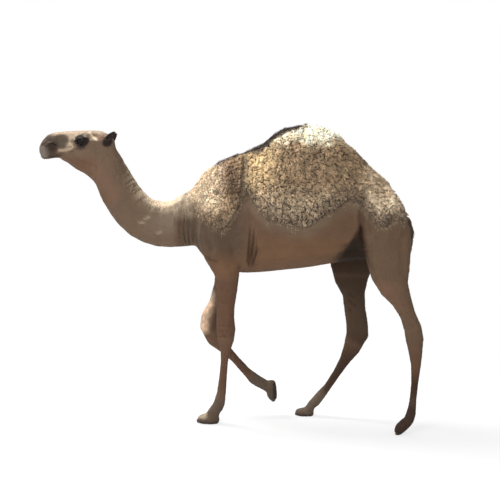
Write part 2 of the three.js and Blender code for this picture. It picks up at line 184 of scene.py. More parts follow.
class Nodes:
    """Short ways to wire a material."""

    def __init__(self, tree):
        self.tree = tree
        tree.nodes.clear()

    def add(self, kind, inputs=None, **settings):
        node = self.tree.nodes.new(kind)
        for key, value in settings.items():
            setattr(node, key, value)
        for key, value in (inputs or {}).items():
            if isinstance(value, bpy.types.NodeSocket):
                self.tree.links.new(value, node.inputs[key])
            else:
                node.inputs[key].default_value = value
        return node

    def math(self, operation, a, b):
        return self.add("ShaderNodeMath", {0: a, 1: b}, operation=operation).outputs[0]

    def ramp(self, value, low, high, out_low, out_high):
        inputs = {"Value": value, "From Min": low, "From Max": high, "To Min": out_low, "To Max": out_high}
        return self.add("ShaderNodeMapRange", inputs).outputs[0]

    def noise(self, vector, scale, detail=3.0, roughness=0.55):
        inputs = {"Vector": vector, "Scale": scale, "Detail": detail, "Roughness": roughness}
        return self.add("ShaderNodeTexNoise", inputs).outputs[0]

    def bump(self, height, strength, distance):
        inputs = {"Height": height, "Strength": strength, "Distance": distance}
        return self.add("ShaderNodeBump", inputs).outputs[0]

    def tinted(self, tone):
        """The tint painted on the mesh, made darker or lighter by a tone."""
        tint = self.add("ShaderNodeAttribute", attribute_name="tint").outputs["Color"]
        return self.add("ShaderNodeVectorMath", {0: tint, 1: tone}, operation="MULTIPLY").outputs[0]

    def surface(self, shader):
        self.add("ShaderNodeOutputMaterial", {"Surface": shader.outputs[0]})

    def principled(self, inputs):
        self.surface(self.add("ShaderNodeBsdfPrincipled", inputs))


def background_seen(nodes):
    """1 for rays that see the studio itself: from the camera, in a mirror or through glass."""
    ray = nodes.add("ShaderNodeLightPath").outputs
    seen = nodes.math("MAXIMUM", ray["Is Camera Ray"], ray["Is Glossy Ray"])
    return nodes.math("MAXIMUM", seen, ray["Is Transmission Ray"])


def new_material(name):
    """An empty material, its nodes and the object's own coordinates."""
    material = bpy.data.materials.new(name)
    material.use_nodes = True
    nodes = Nodes(material.node_tree)
    return material, nodes, nodes.add("ShaderNodeTexCoord").outputs["Object"]


def studio():
    """A white room: camera, even light from all round, two lamps and a pale floor."""
    data = bpy.data.cameras.new("camera")
    data.lens = LENS
    data.clip_end = 60
    camera = new_object("camera", data)
    camera.location = CAMERA_AT
    aim(camera, CAMERA_AIM)
    bpy.context.scene.camera = camera
    bpy.context.scene.view_settings.view_transform = "Standard"

    world = bpy.data.worlds.new("studio")
    bpy.context.scene.world = world
    world.use_nodes = True
    nodes = Nodes(world.node_tree)
    strength = nodes.ramp(background_seen(nodes), 0, 1, ROOM_LIGHT, 1.0)
    light = nodes.add("ShaderNodeBackground", {"Color": (1, 1, 1, 1), "Strength": strength})
    nodes.add("ShaderNodeOutputWorld", {"Surface": light.outputs[0]})
    for name, (at, target, size, watts) in LAMPS.items():
        lamp(name, at, target, size, watts)

    bm = bmesh.new()
    bmesh.ops.create_grid(bm, x_segments=8, y_segments=8, size=14)
    floor = finished("floor", bm)
    material, nodes, place = new_material("pale_floor")
    tone = nodes.ramp(nodes.noise(place, 3), 0.3, 0.7, 0.86, 0.9)
    matt = nodes.add("ShaderNodeBsdfDiffuse", {"Color": tone, "Roughness": 0.5})
    pale = nodes.add("ShaderNodeEmission", {"Color": (1, 1, 1, 1), "Strength": 1.0})
    far = nodes.add("ShaderNodeVectorMath", {0: place}, operation="LENGTH").outputs["Value"]
    share = nodes.math("MULTIPLY", background_seen(nodes), nodes.ramp(far, *WHITE_FROM, 0.72, 1.0))
    both = nodes.add("ShaderNodeMixShader", {0: share, 1: matt.outputs[0], 2: pale.outputs[0]})
    nodes.surface(both)
    floor.data.materials.append(material)


def finished(name, bm):
    """A smooth-shaded object from a bmesh, which is used up."""
    mesh = bpy.data.meshes.new(name)
    bm.to_mesh(mesh)
    bm.free()
    mesh.shade_smooth()
    return new_object(name, mesh)


# ---- the skin's mesh ----

CELL = 0.0118  # size of the skin's faces on the body
HEAD_FINER = 2.6  # how many times finer they are on the head
NECK_START, HEAD_START = 1.62, 1.78  # the change takes place between these two, up the neck
UP_NECK = np.array([-0.742, 0.0, 0.670])
BEHIND_NECK = np.array([0.670, 0.0, 0.742])
NECK_MIDDLE = 1.64 * 0.742 - 0.79 * 0.670
LONG_EDGE = 0.022  # longer edges are cut where the enlargement sets in
NOSE = -1.165  # in front of this the faces are halved
ROUND_THE_EYE = 0.052  # and cut in three this near to an eye

stations = np.linspace(-2.5, 3.0, 11001)
fineness = 1 + (HEAD_FINER - 1) * smooth(NECK_START, HEAD_START, stations)
widened = np.concatenate([[0], np.cumsum((fineness[1:] + fineness[:-1]) / 2 * np.diff(stations))])
widened -= np.interp(0, stations, widened)


def swell(p):
    """Enlarges the head, so that cells of one size come out finer there."""
    t = p @ UP_NECK
    s = np.interp(t, stations, fineness)
    across = (p @ BEHIND_NECK - NECK_MIDDLE) * s
    return np.stack([across, p[:, 1] * s, np.interp(t, stations, widened)], axis=1)


def unswell(p):
    """The way back from the enlarged head."""
    t = np.interp(p[:, 2], widened, stations)
    s = np.interp(t, stations, fineness)
    across = p[:, 0] / s + NECK_MIDDLE
    q = t[:, None] * UP_NECK + across[:, None] * BEHIND_NECK
    q[:, 1] = p[:, 1] / s
    return q


def points_of(mesh):
    co = np.empty(len(mesh.vertices) * 3, np.float32)
    mesh.vertices.foreach_get("co", co)
    return co.reshape(-1, 3).astype(float)


def put_points(mesh, p):
    mesh.vertices.foreach_set("co", p.astype(np.float32).ravel())
    mesh.update()


def changes_size(edge):
    """Whether an edge is long and lies where the enlargement sets in."""
    middle = (edge.verts[0].co + edge.verts[1].co) / 2
    up_neck = middle.x * UP_NECK[0] + middle.z * UP_NECK[2]
    return NECK_START - 0.08 < up_neck < HEAD_START + 0.08 and edge.calc_length() > LONG_EDGE


def cell_skin():
    """All flesh solids as one closed net of even cells, finer on the head, eyes, nose and feet."""
    bm = bmesh.new()
    for name in FLESH:
        if name not in EARS:
            bm.from_mesh(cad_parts[name].data)
    bmesh.ops.remove_doubles(bm, verts=bm.verts, dist=WELD)
    for _ in range(3):
        changing = [edge for edge in bm.edges if changes_size(edge)]
        bmesh.ops.subdivide_edges(bm, edges=changing, cuts=1)
        bmesh.ops.triangulate(bm, faces=bm.faces)
    for name in EARS:
        leaf = bmesh.new()
        leaf.from_mesh(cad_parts[name].data)
        hull = bmesh.ops.convex_hull(leaf, input=leaf.verts)
        spare = [v for v in hull["geom_interior"] + hull["geom_unused"] if isinstance(v, bmesh.types.BMVert)]
        bmesh.ops.delete(leaf, geom=spare, context="VERTS")
        inner = bpy.data.meshes.new("leaf")
        leaf.to_mesh(inner)
        leaf.free()
        bm.from_mesh(inner)
    rough = finished("rough_flesh", bm)
    put_points(rough.data, swell(points_of(rough.data)))
    cells = rough.modifiers.new("cells", "REMESH")
    cells.mode = "VOXEL"
    cells.voxel_size = CELL
    graph = bpy.context.evaluated_depsgraph_get()
    mesh = bpy.data.meshes.new_from_object(rough.evaluated_get(graph))
    bpy.data.objects.remove(rough)
    put_points(mesh, unswell(points_of(mesh)))

    bm = bmesh.new()
    bm.from_mesh(mesh)
    bpy.data.meshes.remove(mesh)
    foot_boxes = [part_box(name) for name in FEET]

    def finer(chosen, cuts):
        edges = {edge for face in bm.faces if chosen(face.calc_center_median()) for edge in face.edges}
        bmesh.ops.subdivide_edges(bm, edges=list(edges), cuts=cuts, use_grid_fill=True)

    def in_foot(c):
        return any(all(low[k] - 0.004 < c[k] < high[k] + 0.004 for k in range(3)) for low, high in foot_boxes)

    finer(in_foot, 1)
    finer(lambda c: c.x < NOSE, 1)
    for eye in eyes.values():
        finer(lambda c: (c - eye["at"]).length < ROUND_THE_EYE, 2)
    bmesh.ops.triangulate(bm, faces=[face for face in bm.faces if len(face.verts) > 4])
    return finished("skin", bm)


class Net:
    """The skin's points with their neighbours, for smoothing and for normals."""

    def __init__(self, mesh):
        self.mesh = mesh
        self.p = points_of(mesh)
        edges = np.empty(len(mesh.edges) * 2, np.int64)
        mesh.edges.foreach_get("vertices", edges)
        self.a, self.b = edges.reshape(-1, 2).T
        count = len(self.p)
        self.valence = np.bincount(self.a, minlength=count) + np.bincount(self.b, minlength=count)
        mesh.calc_loop_triangles()
        tris = np.empty(len(mesh.loop_triangles) * 3, np.int64)
        mesh.loop_triangles.foreach_get("vertices", tris)
        self.tris = tris.reshape(-1, 3)

    def mean(self, value):
        """Each point's mean of its neighbours."""
        count = len(self.p)
        out = np.empty_like(value)
        for k in range(value.shape[1]):
            v = value[:, k]
            out[:, k] = np.bincount(self.a, v[self.b], count) + np.bincount(self.b, v[self.a], count)
        return out / np.maximum(self.valence, 1)[:, None]

    def spread(self, value, rounds):
        for _ in range(rounds):
            value = 0.5 * value + 0.5 * self.mean(value)
        return value

    def relax(self, rounds, amount):
        """Smooths the points without shrinking the form."""
        for _ in range(rounds):
            for push in (0.5, -0.515):
                self.p += push * amount[:, None] * (self.mean(self.p) - self.p)

    def fill(self, rounds, amount):
        """Evens out a sharp crease where the amount is high."""
        for _ in range(rounds):
            self.p += 0.5 * amount[:, None] * (self.mean(self.p) - self.p)

    def normals(self):
        corner = self.p[self.tris]
        face = np.cross(corner[:, 1] - corner[:, 0], corner[:, 2] - corner[:, 0])
        n = np.stack(
            [sum(np.bincount(self.tris[:, j], face[:, k], len(self.p)) for j in range(3)) for k in range(3)],
            axis=1,
        )
        return unit(n)


# How strongly each solid's facets are smoothed away, and which way its hair lies.
EASE = {"head": 0.5, "ear_left": 0.08, "ear_right": 0.08, "neck_upper": 0.6, "neck_lower": 0.9, "tail": 0.05}
EASE |= {name: 1.0 for name in TRUNK}
EASE |= {name: 0.45 for name in UPPER_LEGS}
EASE |= {name: 0.20 for name in SHANKS}
EASE |= {name: 0.10 for name in FEET}


def easing(p, share):
    """How far each point gives way when the facets are smoothed: more at the knees and insteps."""
    ease = share @ np.array([EASE[name] for name in FLESH])
    for leg in LEGS:
        nails = sum((sum(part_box(f"{leg}_toenail_{side}"), Vector()) for side in SIDES), Vector()) / 4
        foot = share[:, FLESH.index(f"{leg}_foot")]
        behind = smooth(0.050, 0.082, np.linalg.norm(p - np.array(nails), axis=1))
        ease += 0.9 * foot * behind * smooth(0.022, 0.040, p[:, 2])
        upper, lower = (share[:, FLESH.index(f"{leg}_{part}")] for part in ("upper", "lower"))
        ease += 3.2 * upper * lower
    return np.clip(ease, 0, 1)


def hair_lies(name):
    """The way the hair lies on one solid: down a limb, back along the head and trunk."""
    if name in TRUNK:
        return np.array([0.8, 0, -0.6])
    p = points_of(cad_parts[name].data)
    p = p - p.mean(0)
    axis = np.linalg.eigh(p.T @ p)[1][:, -1]
    if name == "head" or name in EARS:
        return axis * np.sign(axis[0]) + (np.array([0, 0, -0.15]) if name == "head" else 0)
    return axis * -np.sign(axis[2])


def nearest_solid(p):
    """The number in FLESH of the solid nearest to each point."""
    verts, faces, owner = [], [], []
    for k, name in enumerate(FLESH):
        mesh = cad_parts[name].data
        start = len(verts)
        verts += [v.co.copy() for v in mesh.vertices]
        faces += [tuple(start + i for i in face.vertices) for face in mesh.polygons]
        owner += [k] * len(mesh.polygons)
    tree = BVHTree.FromPolygons(verts, faces)
    return np.array([owner[tree.find_nearest(Vector(q))[2]] for q in p])


def eye_sockets():
    """Middle, radius and side of both eyeballs."""
    found = {}
    for side, sign in SIDES.items():
        low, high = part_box(f"eye_{side}")
        found[side] = {"at": (low + high) / 2, "radius": (high.z - low.z) / 2, "sign": sign}
    return found


# ---- where the fleece grows ----

# Lower edge of the fleece in the side view.
EDGE_X = (-0.199, -0.158, -0.068, 0.025, 0.075, 0.128, 0.170, 0.219, 0.311, 0.452, 0.560,
          0.736, 0.805, 0.909, 0.968, 1.012, 1.117, 1.184, 1.26)
EDGE_Z = (1.415, 1.386, 1.333, 1.313, 1.386, 1.500, 1.545, 1.480, 1.389, 1.352, 1.342,
          1.449, 1.506, 1.484, 1.395, 1.340, 1.371, 1.390, 1.44)
SEAM = ((0.121, 1.77), (0.132, 1.725), (0.132, 1.553), (0.160, 1.47))  # bare line behind the shoulder
RIDGE = ((-0.10, 1.745), (-0.056, 1.765), (0.029, 1.803), (0.14, 1.835), (0.230, 1.875), (0.290, 1.925),
         (0.376, 1.985), (0.475, 2.008))  # line of the back, up the front of the hump
DEPTH_X = (-0.31, -0.20, 0.0, 0.13, 0.24, 0.80, 1.0, 1.2)
DEPTH = (0.007, 0.011, 0.018, 0.019, 0.027, 0.027, 0.022, 0.015)


def fleece(p):
    """How much of the coat is curly fleece, from 0 to 1."""
    ragged = 0.016 * mottle(p, 0.05, 3) + 0.010 * mottle(p, 0.02, 4)
    edge = np.interp(p[:, 0], EDGE_X, EDGE_Z) + ragged
    upper = smooth(-0.038, 0.046, p[:, 2] - edge)
    front = smooth(-0.31, -0.16, p[:, 0] + ragged)
    seam = 0.75 * streak(p, SEAM, 0.014 + 0.010 * smooth(1.65, 1.50, p[:, 2]), fade=0)
    return upper * front * (1 - seam) * (p[:, 2] > 1.2)


def fleece_depth(x):
    """How far the fleece stands off the skin, deepest over the hump."""
    return np.interp(x, DEPTH_X, DEPTH)


def off_ridge(p):
    """Distance in the side view from the line of the back, less where the crest widens up the hump."""
    return off_line(p, RIDGE)[0] - 0.016 * smooth(0.14, 0.26, p[:, 0])


# ---- the skin's shape ----

MOUTH = ((-1.262, 1.789), (-1.230, 1.785), (-1.195, 1.786), (-1.155, 1.792), (-1.118, 1.799))
NOSTRIL = ((-1.242, 1.850), (-1.228, 1.865), (-1.210, 1.874), (-1.190, 1.874), (-1.176, 1.864))
CHEEK_ROLL = ((-1.166, 1.829), (-1.127, 1.826), (-1.078, 1.835), (-1.040, 1.840))
BROW = ((-1.035, 1.915), (-1.005, 1.934), (-0.965, 1.938), (-0.925, 1.920))
NECK_FOLDS = (
    ((-0.262, 1.400), (-0.272, 1.308), (-0.268, 1.230), (-0.262, 1.190)),
    ((-0.226, 1.395), (-0.236, 1.300), (-0.240, 1.230), (-0.242, 1.180)),
    ((-0.190, 1.345), (-0.205, 1.270), (-0.214, 1.200)),
    ((-0.330, 1.400), (-0.336, 1.350), (-0.334, 1.310)),
    ((-0.296, 1.380), (-0.303, 1.300), (-0.300, 1.225)),
)
ARMPIT_FOLDS = (
    ((0.202, 1.368), (0.190, 1.260), (0.178, 1.165), (0.172, 1.100), (0.178, 1.050)),
    ((0.224, 1.335), (0.214, 1.235), (0.198, 1.150), (0.184, 1.080)),
    ((0.247, 1.235), (0.230, 1.155), (0.206, 1.098), (0.186, 1.056)),
)
CHEST_FOLDS = (
    ((-0.140, 1.142), (-0.105, 1.127), (-0.062, 1.131)),
    ((-0.090, 1.118), (-0.055, 1.106), (-0.018, 1.104)),
)
THROAT = ((-1.06, 1.74), (-0.98, 1.69), (-0.90, 1.60), (-0.84, 1.50), (-0.80, 1.42))
# pale front of the bent right knee: partly a rubbed callus, partly painted light
RUBBED_AND_LIT_KNEE = ((-0.126, 0.890), (-0.141, 0.790), (-0.170, 0.700), (-0.184, 0.630), (-0.176, 0.550))
NAPE = ((-0.700, 1.725), (-0.630, 1.640), (-0.575, 1.565), (-0.520, 1.510), (-0.446, 1.480), (-0.34, 1.480))
THIGH_EDGE = ((0.905, 1.500), (0.908, 1.400), (0.912, 1.310), (0.934, 1.180), (0.962, 1.020))

# Folds of one kind: their lines, width, depth and lip.
FOLD_GROUPS = (
    (NECK_FOLDS, 0.0055, 0.0045, 0.8),
    (ARMPIT_FOLDS, 0.0060, 0.010, 0.3),
    (CHEST_FOLDS, 0.007, 0.006, 0.4),
    ((THIGH_EDGE,), 0.016, 0.016, 0.3),
)
# Swellings and hollows: height, middle, half length and half height, turn, softness.
SWELLINGS = (
    (-0.016, (0.845, 1.405), (0.085, 0.115), 0.2, 0.5),  # hollow before the thigh
    (0.010, (0.02, 1.20), (0.10, 0.16), 0.1, 0.9),  # shoulder
    (0.008, (1.06, 1.22), (0.09, 0.15), 0.0, 0.9),  # thigh
    (-0.004, (-0.900, 1.922), (0.032, 0.018), 0.3, 0.9),  # hollow behind the eye
    (-0.006, (-1.137, 1.893), (0.040, 0.034), -0.1, 0.5),  # side of the nose
    (0.006, (-0.930, 1.745), (0.065, 0.075), -0.3, 0.9),  # chewing muscle
    (0.004, (-1.073, 1.863), (0.026, 0.016), 0.3, 0.5),  # cheek below the eye
    (-0.007, (-1.190, 1.850), (0.030, 0.024), 0.3, 0.5),  # hollow under the nostril's wing
    (0.004, (-0.958, 1.917), (0.018, 0.010), 0.5, 0.5),  # upper lid
)
# Ridges and, below zero, furrows: height, line, width.
RIDGES = (
    (-0.010, ((-0.11, 1.42), (-0.10, 1.28), (-0.04, 1.15)), 0.030),  # in front of the shoulder
    (-0.008, ((0.10, 1.30), (0.08, 1.16), (0.06, 1.03)), 0.028),  # behind the upper arm
    (-0.007, ((1.15, 1.30), (1.16, 1.15), (1.17, 1.00)), 0.024),  # back of the thigh
    (-0.007, ((1.155, 0.86), (1.205, 0.76), (1.245, 0.67)), 0.013),  # tendons above the hocks
    (-0.007, ((0.735, 0.83), (0.775, 0.74), (0.80, 0.68)), 0.013),
    (-0.004, ((0.020, 0.52), (0.010, 0.40), (0.004, 0.24)), 0.008),  # tendons of the shanks
    (-0.004, ((1.262, 0.52), (1.258, 0.40), (1.250, 0.24)), 0.008),
    (-0.004, ((-0.030, 0.675), (0.035, 0.668)), 0.010),  # knee bones
    (-0.004, ((-0.030, 0.600), (0.040, 0.596)), 0.010),
    (0.005, ((-1.08, 1.838), (-1.02, 1.836), (-0.95, 1.848), (-0.88, 1.868)), 0.013),  # cheekbone
    (-0.005, ((-1.06, 1.90), (-1.045, 1.875), (-1.02, 1.85)), 0.011),  # tear furrow
    (-0.003, ((-0.865, 1.85), (-0.862, 1.76), (-0.875, 1.66)), 0.020),  # behind the jaw
    (0.004, CHEEK_ROLL, 0.010),
    (-0.004, ((-1.15, 1.795), (-1.10, 1.785), (-1.04, 1.765)), 0.010),  # below the mouth
)
EYE_TILT, EYE_HALF_WIDTH = 0.12, 0.0255  # of the opening between the lids

# Creases between solids that the living form doesn't have: insteps, throat, poll, crown, neck base.
CREASES = (
    ((-0.108, 0.082), 0.038), ((0.508, 0.070), 0.038), ((-0.896, 1.612), 0.060), ((-1.215, 1.937), 0.030),
    ((-0.760, 1.845), 0.035), ((-0.850, 1.955), 0.035), ((-0.200, 1.590), 0.045),
    ((-0.033, 0.068), 0.030), ((0.573, 0.055), 0.030),
)


def fold(p, line, width, depth, lip):
    """A groove with a soft raised lip on both sides."""
    d, along = off_line(p, line)
    ends = smooth(0, 0.2, along) * smooth(0, 0.2, 1 - along)
    return ends * depth * (lip * bell((d - 1.9 * width) / width) - bell(d / width))


def groin(p):
    """1 where the flank sinks in before the left thigh, which is stretched back."""
    x, y, z = p.T
    below = ((x - 0.745) * 0.30 - (z - 1.10) * 0.17) / 0.345
    thigh = np.interp(z, (1.045, 1.182, 1.34, 1.49), (0.952, 0.930, 0.915, 0.912))
    return smooth(0, 0.035, below) * smooth(0, 0.014, thigh - x) * (y < 0)


def relief(p, n):
    """How far folds, muscles and bones stand out from the plain form, in metres."""
    flank = smooth(0.2, 0.6, np.abs(n[:, 1]))
    out = np.zeros(len(p))
    for lines, width, depth, lip in FOLD_GROUPS:
        for line in lines:
            out += flank * fold(p, line, width, depth, lip)
    for height, at, size, turn, soft in SWELLINGS:
        out += height * flank * patch(p, at, size, turn, soft)
    for height, line, width in RIDGES:
        out += height * flank * streak(p, line, width)
    # the neck runs into the withers in one sweep
    out += 0.022 * bell((p[:, 0] + 0.195) / 0.052) * smooth(1.44, 1.50, p[:, 2])
    # the bent right knee is round in front and below
    out += 0.013 * patch(p, (-0.190, 0.678), (0.045, 0.062), -0.2, 0.9) * smooth(0.1, -0.5, n[:, 0])
    out += 0.005 * patch(p, (-0.168, 0.552), (0.045, 0.030), -0.9, 0.9) * (p[:, 1] > 0)
    out -= 0.040 * flank * groin(p)
    out += 0.006 * fleece(p) * mottle(p, 0.09, 11)
    return out + face_relief(p, n, flank)


def face_relief(p, n, flank):
    """Brow, throat, chin, nostrils and lips."""
    out = 0.005 * streak(p, BROW, 0.014) * smooth(0.1, 0.5, np.abs(n[:, 1]))
    out -= 0.010 * patch(p, (-0.972, 1.636), (0.060, 0.035), -0.7, 0.9)  # throat
    out += 0.006 * patch(p, (-1.280, 1.792), (0.016, 0.016), 0.0, 0.9)  # lower lip
    out -= 0.007 * patch(p, (-1.185, 1.778), (0.036, 0.014), 0.0, 0.9) * smooth(-0.2, -0.8, n[:, 2])  # chin
    # nostril: a slanted slit with a raised wing
    side = smooth(0.1, 0.45, np.abs(n[:, 1]))
    slit, _ = off_line(p, NOSTRIL)
    out += side * (0.0026 * bell((slit - 0.010) / 0.006) - 0.008 * bell(slit / 0.0052))
    # mouth: a fine line, the upper lip hanging over it, cleft in front
    line, _ = off_line(p, MOUTH)
    lips = 0.0016 * bell((line - 0.007) / 0.005) - 0.0042 * bell(line / 0.0032)
    out += lips * smooth(-1.262, -1.225, p[:, 0])
    cleft = smooth(-1.275, -1.292, p[:, 0]) * smooth(1.795, 1.815, p[:, 2])
    out -= 0.005 * cleft * bell(p[:, 1] / 0.003)
    for wrinkle in range(4):
        x = -1.252 + 0.016 * wrinkle
        out -= 0.0012 * flank * streak(p, ((x, 1.842), (x + 0.006, 1.822), (x + 0.004, 1.806)), 0.0022)
    return out


def lids(p):
    """Draws the skin over the eyeballs, leaving an almond-shaped opening with thick rims."""
    for eye in eyes.values():
        q = p - np.array(eye["at"])
        forward, up, out = -q[:, 0], q[:, 2], q[:, 1] * eye["sign"]
        near = (np.hypot(forward, up) < 0.050) & (out > -0.02)
        f, u = forward[near], up[near]
        tilted = u + EYE_TILT * f
        half_height = np.where(tilted > 0, 0.0150, 0.0120) * (1 - 0.25 * np.clip(f / 0.026, -1, 1) ** 2)
        r = np.hypot(f / EYE_HALF_WIDTH, tilted / half_height)  # 1 on the rim of the opening
        flat = np.hypot(f, u)
        over, under = (
            np.sqrt(np.maximum((eye["radius"] + off) ** 2 - flat**2, 0)) for off in (0.0030, -0.0055)
        )
        cover = np.maximum(out[near], over + 0.0022 * bell((r - 1.12) / 0.12))
        blend = 1 - smooth(1.6, 2.4, r)
        made = out[near] * (1 - blend) + cover * blend
        crease = bell((r - 1.62) / 0.10) * smooth(0.003, 0.010, np.abs(tilted))
        made -= 0.0025 * crease
        inside = smooth(1.02, 0.94, r)
        made = made * (1 - inside) + np.minimum(under, made) * inside
        p[near, 1] = eye["at"].y + made * eye["sign"]
    return p


def cup_ears(p, n):
    """Hollows the outer side of each ear."""
    for side, sign in SIDES.items():
        leaf = points_of(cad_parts[f"ear_{side}"].data)
        middle = leaf.mean(0)
        axis = np.linalg.eigh((leaf - middle).T @ (leaf - middle))[1][:, -1]
        outwards = np.array([-0.25, sign, 0.15])
        outwards = unit(outwards - (outwards @ axis) * axis)
        q = p - middle
        across = np.hypot((q @ np.cross(axis, outwards)) / 0.021, (q @ axis) / 0.038)
        faces_out = smooth(0.1, 0.7, n @ outwards) * (np.linalg.norm(q, axis=1) < 0.055)
        p -= 0.011 * (smooth(1.0, 0.35, across) * faces_out)[:, None] * outwards
    return p


def make_skin():
    """The skin with its folds and lids, and what the coat needs to know of each of its points."""
    thing = cell_skin()
    net = Net(thing.data)
    owner = nearest_solid(net.p)
    share = net.spread(np.eye(len(FLESH))[owner], 6)
    net.relax(26, easing(net.p, share))
    net.relax(40, 0.9 * share[:, FLESH.index("head")])
    for at, reach in CREASES:
        net.fill(60, patch(net.p, at, (reach, reach), 0.0, 0.6))
    part = {name: share[:, k] for k, name in enumerate(FLESH)}
    softer = net.spread(share, 60)
    part |= {f"soft {name}": softer[:, k] for k, name in enumerate(FLESH)}
    n = net.normals()
    start = net.p.copy()

    # the skin lies under the solids' surface by the depth of the coat
    woolly = net.spread(fleece(start)[:, None], 2)[:, 0]
    small = part["head"] + total(part, EARS) + total(part, FEET)
    lower_leg = total(part, SHANKS)
    sheer = np.clip(small + 0.4 * lower_leg, 0, 1)
    flat_depth = 0.0045 - 0.0030 * sheer
    depth = flat_depth + woolly * (fleece_depth(start[:, 0]) - flat_depth)
    # below the fleece's edge the bare flank lies deeper than the fleece's tips
    rim = np.interp(start[:, 0], EDGE_X, EDGE_Z) - start[:, 2]
    body = total(part, TRUNK)
    depth += 0.010 * body * (1 - woolly) * smooth(0.22, 0.03, rim) * smooth(-0.02, 0.0, rim)
    net.p += n * (relief(start, n) - depth)[:, None]
    net.p = cup_ears(lids(net.p), n)
    # soles rest on the ground
    on_ground = start[:, 2] < 0.006
    net.p[on_ground, 2] = np.minimum(net.p[on_ground, 2], start[on_ground, 2])
    net.p[:, 2] = np.maximum(net.p[:, 2], 0.0)
    put_points(thing.data, net.p)

    # the way the hair lies, smooth from one solid to the next
    lie = net.spread(np.eye(len(FLESH))[owner] @ np.array([hair_lies(name) for name in FLESH]), 80)
    # along the nape it falls to both sides, across the neck
    nape = total(part, NECK) * streak(start, NAPE, 0.050)
    forward = np.interp(start[:, 0], (-0.70, -0.55, -0.44), (-0.8, -0.55, 0))
    lie += 2.0 * nape[:, None] * np.stack([forward, 0.5 * np.sign(start[:, 1]), -0.8 + 0 * forward], axis=1)
    return thing, net, owner, part, woolly, lie


# ---- markings, with painted light and painted shade, the same on skin and coat ----

# Tones. inner, fold and pit are used only for painted shade.
TONES = {
    "sand": (112, 90, 72), "neck": (107, 87, 70), "neck_low": (121, 104, 88), "jaw": (98, 72, 53),
    "cream": (226, 205, 176), "forehead": (165, 145, 123), "muzzle": (66, 52, 42), "olive": (84, 71, 59),
    "nostril": (48, 37, 31), "lip": (113, 102, 92), "ear": (35, 25, 22), "lid": (32, 25, 26),
    "fleece": (168, 143, 113), "fleece_low": (164, 145, 121), "gold": (226, 199, 154),
    "white": (255, 244, 216), "belly": (109, 81, 59), "flank": (103, 79, 61), "thigh": (103, 82, 64),
    "inner": (54, 40, 29), "crest": (70, 57, 48), "shin": (97, 71, 54), "foot": (92, 77, 64),
    "hock": (62, 44, 34), "fold": (56, 38, 26), "shoulder": (87, 70, 56), "nape": (200, 182, 155),
    "tail": (92, 75, 61), "brown": (98, 77, 58), "tan": (170, 150, 128), "rose": (128, 92, 74),
    "ash": (114, 97, 79), "peach": (230, 192, 160), "sole": (48, 38, 33), "pit": (28, 21, 18),
    "eyeball": (30, 22, 20), "iris": (38, 24, 17), "pupil": (8, 7, 9), "horn_dark": (44, 36, 31),
    "horn_pale": (96, 82, 70),
}
TONES = {name: shade(*colour) for name, colour in TONES.items()}


# Lines that are painted, in the side view.
THROAT_SIDE = ((-0.98, 1.76), (-0.86, 1.69), (-0.79, 1.57), (-0.75, 1.46))
NECK_STROKES = (
    ((-0.605, 1.343), (-0.535, 1.348)), ((-0.565, 1.363), (-0.500, 1.395)),
    ((-0.480, 1.268), (-0.415, 1.295)),
)
# painted shade along furrows in the fleece of the rump
RUMP_FURROWS = (((0.73, 1.85), (0.84, 1.72)), ((0.79, 1.86), (0.92, 1.71)), ((0.85, 1.80), (0.97, 1.68)))
# painted shade in hollows on the inner side of the far thigh
HOLLOW_LINES = (  # on the inner side of the far thigh
    ((0.805, 0.870), (0.852, 0.834)), ((0.803, 0.826), (0.868, 0.779)), ((0.815, 0.763), (0.832, 0.742)),
)
CHEEK_LOOP = ((-1.098, 1.858), (-1.070, 1.874), (-1.043, 1.853), (-1.056, 1.836))
NOSTRIL_WING = ((-1.240, 1.862), (-1.222, 1.877), (-1.198, 1.886))
LID_LINE = ((-0.965, 1.942), (-0.945, 1.936), (-0.930, 1.916), (-0.916, 1.898))
PALE_BROW = ((-0.945, 1.964), (-0.928, 1.940), (-0.905, 1.916), (-0.880, 1.900))


def paint(colour, *layers):
    """Lays tones over a colour, one after the other, each by its own amount."""
    for name, amount in layers:
        colour = colour + (TONES[name] - colour) * np.clip(amount, 0, 1)[:, None]
    return colour


def markings_light_and_shade(p, n, part, woolly):
    """The camel's colours at points on it, with painted light and painted shade."""
    x, y, z = p.T
    flank = smooth(0.15, 0.6, np.abs(n[:, 1]))
    neck = total(part, NECK) + part["head"]
    trunk = total(part, TRUNK)
    above_edge = z - np.interp(x, EDGE_X, EDGE_Z)
    rim = smooth(-0.11, -0.03, above_edge + 0.02 * mottle(p, 0.06, 20)) * smooth(0.10, 0.20, x)
    colour = paint(
        np.repeat(TONES["sand"][None], len(p), axis=0),
        ("neck", neck),
        ("neck_low", 0.9 * neck * smooth(-0.62, -0.42, x) * smooth(1.22, 1.34, z)),
        ("flank", trunk),
        ("belly", trunk * smooth(1.34, 1.18, z)),
        ("shoulder", trunk * smooth(0.22, 0.10, x) * smooth(1.04, 1.24, z)),
        ("ash", 0.7 * trunk * rim),
        ("thigh", trunk * smooth(0.90, 0.96, x) * smooth(1.45, 1.30, z)),
    )
    colour = leg_markings_light_and_shade(colour, p, n, part, trunk)
    colour = neck_markings_and_light(colour, p, n, neck, trunk, flank)
    wool = fleece_colour(p, above_edge)
    colour = colour + (wool - colour) * np.clip(1.25 * woolly, 0, 1)[:, None]
    colour = fold_shade(colour, p, n, part, flank)

    # dark line along the back, from the withers up the front of the hump
    rise, along = off_line(p, RIDGE)
    wide = 0.038 + 0.026 * smooth(0.14, 0.26, x)
    crest = smooth(wide + 0.014, wide - 0.008, rise + 0.006 * mottle(p, 0.02, 8))
    crest = crest * smooth(0.115, 0.075, np.abs(y)) * smooth(0, 0.1, along)
    dock = 1 - 0.75 * smooth(1.31, 1.24, z) * smooth(1.06, 1.14, z)
    colour = paint(
        colour,
        ("crest", 0.97 * trunk * crest),
        ("tail", part["tail"] * smooth(1.43, 1.36, z) * dock),
    )
    return face_markings_light_and_shade(colour, p, n, part, flank)


